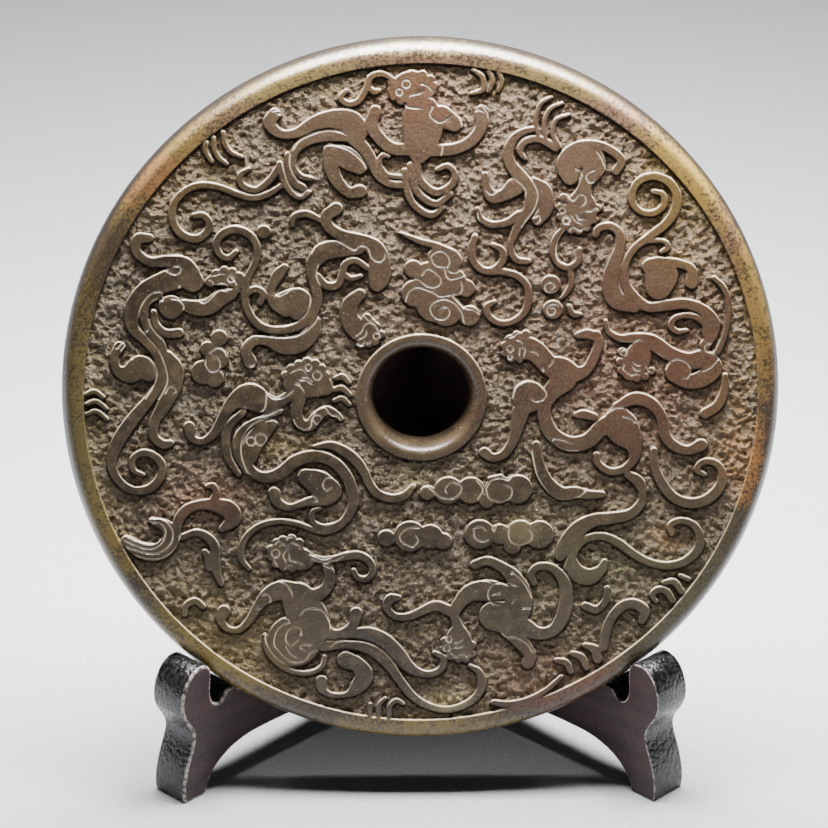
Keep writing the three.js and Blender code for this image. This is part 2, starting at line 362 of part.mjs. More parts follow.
const outerRightDragon = {
  strokes: [
    [[62.6, 57.4, 1.4], [65.2, 56.6, 1.6], [65.6, 53.6, 1.8], [63, 51.5, 1.9], [59.6, 51.7, 1.8],
      [57.2, 54, 2], [57, 57.4, 2.1], [59.2, 60.6, 2.1], [63, 61.6, 2.2], [66.8, 60, 2.4], [69, 56.5, 2.4],
      [68.8, 52.5, 2.6], [66.4, 48.6, 2.5], [61.8, 44.9, 2.3], [57.6, 41.4, 2], [55.3, 36.6, 2],
      [55.6, 31.6, 2.6], [58.2, 27.6, 3.2], [62, 25.3, 2.8], [67, 25.8, 3], [72, 26.2, 3],
      [76.6, 24.6, 3.1], [79.7, 21.4, 3.2], [79.8, 18, 2.8], [77.6, 14.6, 3]],
    [[60.5, 43.6, 1.4], [65.4, 43.7, 1.3], [67, 42, 1.6], [65.2, 40.7, 1.2]],
    [[62, 36.6, 4.2], [66, 37.6, 3.2], [70, 37.4, 2.5], [73.4, 35.8, 2.6], [73.6, 32, 3.4]],
    [[62.4, 37, 4], [64.4, 33.6, 6.8], [64.2, 30.6, 6]],
    [[79.6, 33.4, 1.4], [82, 31, 1.6], [83.6, 27.4, 1.6], [83.6, 22, 1.6], [82.8, 17, 1.6], [81, 12.6, 1.8]],
    [[78, 17.6, 2.4], [77.6, 20.4, 2.1], [75.2, 22.3, 1.8], [72, 23, 1.6], [69, 22, 1.6], [68.2, 19.8, 1.7],
      [70, 18.4, 1.6], [72.4, 18.7, 1.2]],
    [[50.3, 21.4, 1.1], [51.2, 18.4, 1.5], [54.4, 16.6, 2.1], [58.4, 16.6, 3], [63, 15.4, 4.4],
      [68, 12.2, 4], [73, 10.2, 4.6], [77.4, 10.6, 5.4], [80, 8, 5], [77, 5.2, 4.8], [73, 4.4, 4],
      [69, 6, 3.6]],
    [[60, 14.6, 4.4], [59, 10.6, 7.4], [57.4, 7.4, 5.6]],
    [[48.1, 17.6, 2.4], [48.8, 15, 2.3], [48, 11.6, 2.3], [45.6, 8, 2.6], [42, 7, 5], [37.6, 7.6, 6.6],
      [35, 9, 5.6], [31, 13, 6], [27.4, 14.2, 6.4], [25, 14.6, 4]],
    [[42.6, 17.4, 1.8], [45.4, 17.8, 2.8], [48, 16.8, 2.4]],
    [[39, 5, 7], [35.4, 1, 4.6], [33.6, -4, 3.6], [36, -10.2, 4], [41, -13.2, 4.4], [46, -12.2, 4.4],
      [49.6, -8.6, 4.6], [53.4, -7.6, 7]],
    [[27.3, -4, 4.8], [26.2, -9, 3.3], [24.9, -13, 2.7], [22.6, -16.2, 2.5], [19.6, -17, 2.5], [17.4, -15.6, 3]],
    [[42.6, -5, 1.8], [44.6, -4.8, 2.6], [47.6, -5.6, 2.2]],
    [[31.6, -13.4, 2.2], [32.4, -19, 3.2], [34.8, -24, 3.6], [38.6, -27.2, 3.8], [42.6, -27, 3.4],
      [46.4, -27.6, 2.6], [50, -27.6, 2]],
    [[53.6, -2.6, 2.2], [58.6, -0.4, 3.6], [63, -1.8, 3.4], [66, -5.6, 3], [67.2, -11, 3], [70, -14, 3],
      [73.6, -15, 2.7], [77, -13.6, 3.6]],
    [[54, -6, 7], [55.4, -9, 9], [58.2, -13, 5], [58.7, -17, 2.8], [56, -20.3, 2.3], [52, -21, 2.2],
      [48.8, -18.8, 2], [48.2, -16.2, 1.7]],
    [[83.3, 6, 1.6], [83.2, 2, 2.3], [81.4, -2.3, 2.8], [78, -4.7, 3]],
    [[64, -15, 1.8], [64.5, -20, 2.4], [66.8, -25, 2.9], [70, -28.6, 2.9], [74.5, -30.1, 3], [79, -29, 3.1],
      [82.5, -25.4, 2.9], [82.9, -21, 2.3], [80.6, -18.5, 2], [77.6, -18.4, 1.9], [76, -20.6, 1.7],
      [78.2, -22, 1.4]],
  ],
  lobes: [[70.3, 7.4, 3.5], [29.4, 0.2, 4.5]],
};

const clouds = {
  strokes: [
    [[19.2, 42.6, 1.4], [21.6, 41.2, 1.9], [21.9, 38.2, 2], [19.4, 35.6, 2.1], [16.4, 35.7, 2.1],
      [14, 38.2, 2.1], [13.5, 41.8, 2.1], [14.4, 44.8, 1.8]],
    [[17.8, 35.2, 1.8], [21.6, 35.2, 1.9], [25.6, 34.2, 2], [28.5, 31.4, 2], [29.1, 27.4, 2], [27.8, 23.6, 2],
      [24.8, 21.3, 1.8], [21.3, 20.9, 1.8], [18.4, 22.7, 1.9], [17.8, 25.4, 1.9], [19.8, 26.8, 1.3]],
    [[-5.8, 45.9, 1], [-1, 43.8, 1.7], [4, 42.3, 2], [8.6, 40, 2.6]],
    [[19, -23, 1.3], [22, -22.3, 1.3]],
  ],
  lobes: [
    [5, 39.2, 3.4], [8.3, 38, 2.7], [-2.4, 36, 2.5], [1.9, 33.8, 4.2], [8, 32.2, 4.2], [12, 30.6, 2.5],
    [-1.8, 29.2, 3.8], [3.4, 26.2, 5], [6.6, 24.4, 4.4], [13, 22.9, 2.9],
    [1.8, -27, 2.1], [7.5, -26.3, 3.9], [13.7, -26.3, 3.8], [18.2, -29.3, 2.1], [21.6, -26.2, 4],
    [26.6, -26, 4.1], [-9.5, -39.9, 2.4], [-3, -39.4, 4.4], [2.6, -39.5, 3.5], [6.2, -40.8, 2.4],
    [16.3, -38.9, 4.2], [21.9, -38.8, 2.9], [27.5, -38.6, 3.8], [32.8, -39, 4], [25.4, -42.2, 2.4],
    [-55.3, 16.8, 2.3], [-58.4, 13.8, 2.1], [-56, 11.2, 3.3], [-59.6, 7.2, 3.4], [-56.6, 5.6, 2.6],
  ],
};

const figures = [
  crestDragon, upperLeftDragon, innerLeftDragon, outerLeftDragon, headLeftDragon, rimLeftDragon,
  lowerLeftDragon, lowerRightDragon, upperRightDragon, outerRightDragon, clouds,
];

// ---------------------------------------------------------------- the disc
// The section is drawn as [radius, depth behind the front bands] and turned round the disc's axis.
function quarter(fromR, toR, fromZ, toZ, steps, rising) {
  return Array.from({ length: steps }, (_, i) => {
    const a = ((i + 1) / (steps + 1)) * Math.PI / 2;
    const k = rising ? [Math.sin(a), Math.cos(a)] : [Math.cos(a), Math.sin(a)];
    return [fromR + (toR - fromR) * (rising ? k[0] : 1 - k[0]), fromZ + (toZ - fromZ) * (rising ? 1 - k[1] : k[1])];
  });
}

function discBody() {
  const mid = -DISC_T / 2;
  const section = [
    [HOLE_R, mid],
    ...quarter(HOLE_R, COLLAR_FLAT_R, mid, 0, 1, false),
    [COLLAR_FLAT_R, 0],
    [COLLAR_R, 0],
    [COLLAR_R + WALL, -FIELD_DEPTH],
    [RIM_R - WALL, -FIELD_DEPTH],
    [RIM_R, 0],
    [BAND_R, 0],
    ...quarter(BAND_R, DISC_R, 0, mid, 2, true),
    [DISC_R, mid],
    ...quarter(BAND_R, DISC_R, -DISC_T, mid, 2, true).reverse(),
    [BAND_R, -DISC_T],
    [RIM_R, -DISC_T],
    [RIM_R - WALL, -DISC_T + BACK_DEPTH],
    [COLLAR_R + WALL, -DISC_T + BACK_DEPTH],
    [COLLAR_R, -DISC_T],
    [COLLAR_FLAT_R, -DISC_T],
    ...quarter(HOLE_R, COLLAR_FLAT_R, mid, -DISC_T, 1, false).reverse(),
    [HOLE_R, mid],
  ];
  const profile = section.map(([r, z]) => new THREE.Vector2(r, z)).reverse();
  const geometry = new THREE.LatheGeometry(profile, 56);
  geometry.rotateX(Math.PI / 2);
  return solid(geometry);
}

function discGeometry() {
  let disc = discBody();
  for (const figure of figures) {
    let raised = null;
    const broad = figure.strokes.filter((spine) => Math.max(...spine.map(([, , w]) => w)) > FINEST);
    const outlines = [
      ...broad.map(strokeOutline),
      ...figure.lobes.map(([x, y, r]) => lobe(x, y, r)),
    ];
    for (const outline of outlines) {
      const piece = prism(outline, -FIELD_DEPTH - 1, 0);
      raised = raised ? raised.add(piece) : piece;
    }
    disc = disc.add(raised);
  }
  return geometryOf(disc);
}

// ---------------------------------------------------------------- the stand
// A board's side view: u runs along the ground from the front foot's corner, z is up.
function boardShape() {
  const post = (z) => 59.7 + (z - DISC_Z) * 0.3265 + GAP;
  const rear = BOARD_L;
  const shape = new THREE.Shape();
  shape.moveTo(0, 0);
  shape.bezierCurveTo(-1, 4, 0, 8, 1.3, 12);
  shape.bezierCurveTo(2.4, 15, 4.4, 18.6, 3.7, 21);
  shape.bezierCurveTo(3, 23.6, 0.6, 25.6, -0.3, 29);
  shape.bezierCurveTo(-1.3, 33.6, 1.4, 41.2, 6.9, 41.2);
  shape.bezierCurveTo(12.6, 41.2, 10.2, 35.4, 10.5, 31.4);
  shape.bezierCurveTo(10.7, 28.6, 12, LEDGE_Z, 14, LEDGE_Z);
  shape.bezierCurveTo(15, LEDGE_Z, 16, REST_Z, 17.4, REST_Z);
  shape.lineTo(20, REST_Z);
  shape.lineTo(post(GROOVE_Z) - 3, GROOVE_Z);
  shape.quadraticCurveTo(post(GROOVE_Z), GROOVE_Z, post(GROOVE_Z + 3), GROOVE_Z + 3);
  shape.lineTo(post(POST_Z - 6), POST_Z - 6);
  shape.bezierCurveTo(post(POST_Z) + 0.8, POST_Z + 1.4, 83, POST_Z + 1.6, 85, POST_Z - 6);
  shape.bezierCurveTo(88, 134, 110, 138, rear - 12, 116);
  shape.bezierCurveTo(rear - 10, 106, rear - 14, 92, rear - 11, 80);
  shape.bezierCurveTo(rear - 8, 64, rear + 2, 56, rear, 40);
  shape.bezierCurveTo(rear - 1, 28, rear - 7, 20, rear - 1, 10);
  shape.bezierCurveTo(rear + 0.6, 6, rear + 0.6, 3, rear, 0);
  shape.lineTo(rear - FOOT_L, 0);
  shape.bezierCurveTo(rear - FOOT_L - 1, 6, rear - 16, ARCH_H, rear - 29, ARCH_H);
  shape.bezierCurveTo(rear - 44, ARCH_H, 66, 11, BOARD_L / 2, 8.6);
  shape.bezierCurveTo(59, 11, 44, ARCH_H, 29, ARCH_H);
  shape.bezierCurveTo(16, ARCH_H, FOOT_L + 1, 6, FOOT_L, 0);
  shape.closePath();
  return shape;
}

function boardGeometry(side) {
  const edge = 0.5;
  const geometry = new THREE.ExtrudeGeometry(boardShape(), {
    depth: BOARD_T - 2 * edge,
    curveSegments: 4,
    bevelThickness: edge,
    bevelSize: edge,
    bevelOffset: -edge,
    bevelSegments: 1,
  });
  geometry.translate(0, 0, side === 'left' ? edge - BOARD_T : edge);
  const slotWidth = BOARD_T + 2 * GAP;
  const crossing = SPREAD * Math.SQRT2;
  const slot = new THREE.BoxGeometry(slotWidth, 100, 3 * BOARD_T);
  const low = side === 'left';
  slot.translate(crossing + BOARD_T / 2, low ? LAP_Z - 50 : LAP_Z + 50 - GAP, 0);
  return geometryOf(solid(geometry).subtract(solid(slot)));
}

// ---------------------------------------------------------------- the object
const jade = new THREE.MeshStandardMaterial({ color: 0x5a4436, roughness: 0.35, metalness: 0 });
const lacquer = new THREE.MeshStandardMaterial({ color: 0x2c1f20, roughness: 0.45, metalness: 0 });

const disc = new THREE.Mesh(discGeometry(), jade);
disc.name = 'jade_disc';
disc.position.set(0, SHIFT_Y, DISC_Z);
disc.rotation.x = Math.PI / 2 - LEAN;

const stand = new THREE.Group();
for (const side of ['left', 'right']) {
  const board = new THREE.Mesh(boardGeometry(side), lacquer);
  const sign = side === 'left' ? -1 : 1;
  board.name = `${side}_stand_board`;
  board.rotation.set(Math.PI / 2, 0, Math.PI / 2 + sign * TURN, 'ZYX');
  board.position.set(sign * SPREAD, FRONT_Y + SHIFT_Y, 0);
  stand.add(board);
}

const jadeBiDisc = new THREE.Group();
jadeBiDisc.add(disc, stand);
export default jadeBiDisc;
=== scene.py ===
# %% [markdown]
# # A carved jade bi disc on its lacquered stand
# The object is a flat ring of dark mottled jade, 197 mm across, with coiling dragons and clouds
# carved on its face. It leans on two slotted boards that cross behind it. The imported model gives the
# sizes and the frame. This script adds what a maker adds last: the fine carving, the rounded edges,
# the polish, the stone's colours and the lacquer.

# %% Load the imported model
import math

import bmesh
import bpy
import numpy as np
from mathutils import Matrix, Vector, kdtree
from mathutils.geometry import delaunay_2d_cdt


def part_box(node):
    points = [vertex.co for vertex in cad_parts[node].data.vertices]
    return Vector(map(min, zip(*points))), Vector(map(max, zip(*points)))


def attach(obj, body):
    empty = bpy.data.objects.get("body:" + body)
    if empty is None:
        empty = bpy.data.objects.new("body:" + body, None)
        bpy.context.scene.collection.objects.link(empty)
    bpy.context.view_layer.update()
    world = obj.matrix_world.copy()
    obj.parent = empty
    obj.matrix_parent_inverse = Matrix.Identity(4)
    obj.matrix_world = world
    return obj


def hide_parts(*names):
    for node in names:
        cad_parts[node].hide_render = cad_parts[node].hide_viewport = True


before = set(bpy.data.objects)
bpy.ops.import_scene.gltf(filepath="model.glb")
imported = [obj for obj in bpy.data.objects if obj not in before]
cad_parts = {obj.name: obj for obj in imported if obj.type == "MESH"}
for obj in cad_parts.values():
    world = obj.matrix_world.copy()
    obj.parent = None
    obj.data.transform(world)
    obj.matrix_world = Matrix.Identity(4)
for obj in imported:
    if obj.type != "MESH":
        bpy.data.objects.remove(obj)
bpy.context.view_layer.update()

MM = 0.001
print("nodes:", sorted(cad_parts))

# %% [markdown]
# The disc has its own flat frame: x to the right, y up along the leaning face, z out of the face.
# Every size of the carving is in millimetres in that frame, and one function puts a whole array of
# such points into the room. The disc's sizes, its lean and the middle of its face are the packed
# model's own, and the node's box is printed to compare with them.

# %% The disc's own frame
DISC_R = 98.7
DISC_T = 14.5
BAND_R = 95.2
RIM_R = 92.4
COLLAR_R = 17.9
COLLAR_FLAT_R = 16.0
HOLE_R = 13.1
FIELD_DEPTH = 1.0
BACK_DEPTH = 0.8
LEAN = math.radians(13.24)
FACE_CENTRE = np.array((0.0, -20.55, 113.16))

ALONG_X = np.array((1.0, 0.0, 0.0))
UP_FACE = np.array((0.0, math.sin(LEAN), math.cos(LEAN)))
OUT_OF_FACE = np.array((0.0, -math.cos(LEAN), math.sin(LEAN)))


def room_points(points):
    """Disc points in millimetres, as rows of x, y, z, placed in the room in metres."""
    points = np.asarray(points, float)
    turned = points @ np.array((ALONG_X, UP_FACE, OUT_OF_FACE))
    return (FACE_CENTRE + turned) * MM


low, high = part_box("jade_disc")
print("disc box:", [round(v, 4) for v in (*low, *high)])

# %% [markdown]
# A long lens from well back keeps the disc nearly free of perspective. The camera looks down from
# about 27 degrees, a touch from the left, and is rolled by well under a degree.

# %% Camera
VIEW_DISTANCE = 1.2
VIEW_ELEVATION = math.radians(26.78)
VIEW_AZIMUTH = math.radians(-1.76)
VIEW_ROLL = math.radians(0.69)
LENS = 190.5
AIM_RIGHT = -2.03 * MM
AIM_UP = -4.36 * MM

centre = Vector(FACE_CENTRE * MM)
back = Vector((
    math.sin(VIEW_AZIMUTH) * math.cos(VIEW_ELEVATION),
    -math.cos(VIEW_AZIMUTH) * math.cos(VIEW_ELEVATION),
    math.sin(VIEW_ELEVATION),
))
level_right = Vector((0, 0, 1)).cross(back).normalized()
level_up = back.cross(level_right)
right = math.cos(VIEW_ROLL) * level_right + math.sin(VIEW_ROLL) * level_up
up = math.cos(VIEW_ROLL) * level_up - math.sin(VIEW_ROLL) * level_right
eye = centre + VIEW_DISTANCE * back
aim = centre + AIM_RIGHT * right + AIM_UP * up
back = (eye - aim).normalized()
right = up.cross(back).normalized()
up = back.cross(right)

camera_data = bpy.data.cameras.new("camera")
camera_data.lens = LENS
camera_data.sensor_width = 36
camera_data.clip_end = 20
camera = bpy.data.objects.new("camera", camera_data)
camera.matrix_world = Matrix((
    (right.x, up.x, back.x, eye.x),
    (right.y, up.y, back.y, eye.y),
    (right.z, up.z, back.z, eye.z),
    (0, 0, 0, 1),
))
bpy.context.collection.objects.link(camera)
bpy.context.scene.camera = camera
print("camera at", [round(v, 4) for v in eye])

# %% [markdown]
# The light is a broad box overhead, a little behind the disc. It skims the carving from above, so the
# upper edges shine and the lower ones fall dark. A weak box in front opens the shadows.

# %% Lights


def softbox(name, place, target, width, height, power):
    """A rectangular area light at a place, turned to face the target. All in metres and watts."""
    light = bpy.data.lights.new(name, "AREA")
    light.shape = "RECTANGLE"
    light.size = width
    light.size_y = height
    light.energy = power
    lamp = bpy.data.objects.new(name, light)
    lamp.location = place
    lamp.rotation_euler = (Vector(target) - Vector(place)).to_track_quat("-Z", "Y").to_euler()
    bpy.context.collection.objects.link(lamp)
    return lamp


OVERHEAD_WATTS = 26
FRONT_WATTS = 0.8
ROOM_COLOUR = (0.8, 0.85, 0.95, 1)
ROOM_GLOW = 0.03
softbox("overhead box", (0.02, 0.07, 0.42), (0.02, 0.07, 0.1), 0.36, 0.24, OVERHEAD_WATTS)
softbox("front box", (0.15, -1.4, 0.95), (0, 0, 0.1), 0.5, 0.4, FRONT_WATTS)

world = bpy.data.worlds.new("room")
bpy.context.scene.world = world
world.use_nodes = True
room = world.node_tree.nodes["Background"]
room.inputs["Color"].default_value = ROOM_COLOUR
room.inputs["Strength"].default_value = ROOM_GLOW

# %% [markdown]
# The floor is one large pale sheet with a faint grain. It is only a stage.

# %% Floor


def new_material(name):
    """A material with a Principled BSDF, and its node tree and shader."""
    material = bpy.data.materials.new(name)
    material.use_nodes = True
    return material, material.node_tree, material.node_tree.nodes["Principled BSDF"]


def plain_mesh(name, points, faces, material=None):
    """A mesh object at the origin, from points in metres."""
    mesh = bpy.data.meshes.new(name)
    mesh.from_pydata([tuple(p) for p in points], [], [tuple(f) for f in faces])
    piece = bpy.data.objects.new(name, mesh)
    bpy.context.collection.objects.link(piece)
    if material:
        mesh.materials.append(material)
    return piece


FLOOR_HALF = 6.0
FLOOR_GRAIN = 900
FLOOR_DARK = (0.27, 0.275, 0.285, 1)
FLOOR_LIGHT = (0.34, 0.345, 0.355, 1)
floor_paint, floor_tree, floor_shader = new_material("floor sheet")
floor_shader.inputs["Roughness"].default_value = 0.85
floor_place = floor_tree.nodes.new("ShaderNodeTexCoord")
floor_noise = floor_tree.nodes.new("ShaderNodeTexNoise")
floor_noise.inputs["Scale"].default_value = FLOOR_GRAIN
floor_noise.inputs["Detail"].default_value = 3
floor_ramp = floor_tree.nodes.new("ShaderNodeValToRGB")
floor_ramp.color_ramp.elements[0].color = FLOOR_DARK
floor_ramp.color_ramp.elements[0].position = 0.3
floor_ramp.color_ramp.elements[1].color = FLOOR_LIGHT
floor_ramp.color_ramp.elements[1].position = 0.7
floor_tree.links.new(floor_place.outputs["Object"], floor_noise.inputs["Vector"])
floor_tree.links.new(floor_noise.outputs["Fac"], floor_ramp.inputs["Fac"])
floor_tree.links.new(floor_ramp.outputs["Color"], floor_shader.inputs["Base Color"])
corners = [(-1, -1), (1, -1), (1, 1), (-1, 1)]
floor = plain_mesh("floor", [(FLOOR_HALF * x, FLOOR_HALF * y, 0) for x, y in corners], [(0, 1, 2, 3)],
                   floor_paint)
print("floor:", 2 * FLOOR_HALF, "m across")

# %% [markdown]
# The carving is drawn as a carver would set it out. Each dragon is a set of strokes. A stroke is a
# list of (x, y, width) stations from the thick end to the tip, and a smooth curve runs through them.
# Lobes are round cushions (x, y, radius). Cuts are the fine lines incised on top of the raised forms,
# for eyes, manes, claws and joints, and rings are small incised circles.

# %% A figure's tally


def tally(name, figure):
    """Say how many strokes and cuts a figure holds."""
    print(f"{name}: {len(figure['strokes'])} strokes, {len(figure['cuts'])} cuts")


# %% The crest dragon at the top
crest_dragon = {
    "strokes": [
        [(-7.5, 85, 4), (-3, 86, 9), (1.2, 85.5, 5)],
        [(-0.5, 81, 8), (0, 76, 11), (-0.5, 71, 9), (-1, 67.5, 5)],
        [(-2, 69, 3.4), (-8, 69.2, 3.4), (-11.8, 72.2, 3.4), (-13.8, 75.8, 3.4), (-12.8, 79.5, 3.2)],
        [(0, 68.6, 3.4), (8, 69, 3.2), (12.8, 71, 3.2), (15.7, 74.8, 3.2), (15.9, 79.2, 3.8)],
        [(5, 78, 6), (8.6, 76, 4.4)],
        [(-1.6, 65, 2), (-0.6, 60.4, 2.2), (3.5, 57.2, 2.2), (7.6, 58.9, 2), (8.8, 62, 1.8),
         (6.8, 64.4, 1.6), (4, 63.4, 1.3)],
        [(-3.2, 64.5, 2), (-2, 58.5, 2), (0.5, 55.4, 2), (4, 54, 2), (7.6, 56.6, 1.6)],
        [(-4.8, 63, 1.8), (-4, 57, 1.9), (-1.6, 53, 1.9), (2.5, 50.9, 1.9), (5.6, 52.9, 1.4)],
        [(-8.2, 88.2, 1.2), (-11, 89.6, 1.7), (-14, 88.7, 1.8), (-15.3, 85.5, 1.8), (-17.2, 82.3, 1.8),
         (-20, 81.4, 1.8), (-22.2, 83, 1.6), (-20.6, 85, 1.2)],
        [(-14.6, 86, 1.2), (-13.2, 84.7, 1.8), (-11.8, 85, 1.2)],
        [(13.6, 90.6, 1.1), (16, 88.6, 1.5), (16.2, 85.4, 1.5), (13.2, 84.2, 1.1)],
        [(17.8, 90.2, 1.1), (18.6, 87.6, 1.3), (17.8, 84.8, 1.1)],
        [(20.4, 89.8, 1.1), (21.2, 87.6, 1.3), (20.4, 85, 1.1)],
    ],
    "lobes": [
        (-8.3, 87.2, 1.2), (-7.5, 85.4, 1.3), (-7.8, 83.4, 1.2), (-6, 82.3, 1.2), (-3, 89.4, 1.3),
        (-0.2, 89.3, 1.3), (2, 88.2, 1.2), (3, 86.4, 1.1),
    ],
    "cuts": [
        [(2, 83.3), (5, 81.7), (8, 80.7), (10, 77.5), (10.8, 75)],
        [(2.5, 80.2), (2, 78.3), (4.5, 76.5), (7, 77.6)],
        [(5, 67), (5.7, 71), (7, 73.3), (8.7, 72.8)],
        [(-3, 84), (-1.5, 84.2), (0, 84.8)],
        [(0, 87), (1.4, 86.3), (2.5, 85)],
        [(-6, 81.5), (-3.5, 80.6), (-1, 80.3)],
        [(14, 79.3), (15, 80), (16, 79.5)],
        [(16.3, 80.7), (17.5, 79), (17.6, 77.5)],
    ],
    "rings": [(-4.5, 87.1, 1.1), (-6.3, 84.9, 0.9)],
}
tally("The crest dragon at the top", crest_dragon)

# %% The upper left dragon
upper_left_dragon = {
    "strokes": [
        [(-40, 78.6, 3.4), (-41.4, 76, 3.4), (-38.4, 73.3, 2.6), (-34, 73.5, 2.8), (-29, 76.2, 4),
         (-24, 77.3, 5.2), (-19.5, 76.3, 6.6), (-18, 73.5, 6)],
        [(-18.5, 72.4, 3), (-25, 72.7, 3.1), (-30.5, 71.6, 2.8), (-34.4, 68.6, 2.4), (-35, 64.6, 1.8),
         (-33.2, 61.8, 1.7), (-30, 60.9, 1.4)],
        [(-36.4, 67.4, 1.8), (-36.4, 63.5, 2), (-34.8, 60, 2.4), (-32.4, 58.4, 2.2)],
        [(-38.6, 65, 1.7), (-37.6, 60.4, 1.7), (-35.4, 57, 1.7), (-32.8, 55.9, 1.7),
         (-30.6, 57.3, 1.2)],
        [(-25, 68.6, 3.8), (-20.6, 66.6, 6), (-17, 64, 3.8)],
        [(-24.9, 67.6, 4.4), (-24.6, 63.6, 4), (-22.9, 60, 3.4), (-20, 57.2, 3), (-16.8, 57.5, 3.6)],
        [(-18.6, 72, 4), (-15.7, 69, 3.4), (-13.6, 65.4, 3), (-12, 61.8, 2.4), (-9, 59.6, 2.1),
         (-5, 59.2, 2)],
        [(-9.2, 67, 1), (-10.8, 67.3, 1.4), (-11.7, 65, 1.5), (-9.6, 62, 1.5), (-5.8, 61.4, 1.4)],
        [(-38.8, 64.4, 1.6), (-41.3, 60.6, 1.9), (-45, 57.9, 1.9), (-48.8, 59.2, 1.9),
         (-49.2, 62, 1.6), (-46.9, 63.6, 1.2)],
        [(-38.2, 59, 1.4), (-42, 56.6, 1.8), (-46, 55.7, 1.8), (-50, 56.7, 1.8), (-55, 58.6, 1.8),
         (-60, 59.2, 1.9), (-64.4, 57.4, 2), (-67.3, 53.8, 2.1), (-67.7, 49.6, 2.2),
         (-65.4, 45.8, 2.3), (-61.6, 44.4, 2.3), (-58.6, 46, 2.2), (-57.8, 48.8, 2),
         (-59.4, 50.9, 1.8), (-61.8, 50.8, 1.6)],
    ],
    "lobes": [],
    "cuts": [
        [(-21.5, 73.7), (-25, 74.4), (-29, 73.6), (-33, 71.6), (-35, 69)],
        [(-27.5, 69), (-25, 70.4), (-20, 69), (-16.5, 66), (-15, 63.5)],
        [(-35.8, 68), (-35.8, 64.5), (-34, 61), (-31, 59.8)],
        [(-38, 65.5), (-36.8, 61), (-35, 58), (-33, 56.5), (-31.3, 58)],
        [(-40, 79.6), (-39.3, 79.9), (-38.6, 79.8)],
        [(-39, 78.8), (-38.3, 78.6), (-37.8, 77.8)],
    ],
    "rings": [],
}
tally("The upper left dragon", upper_left_dragon)

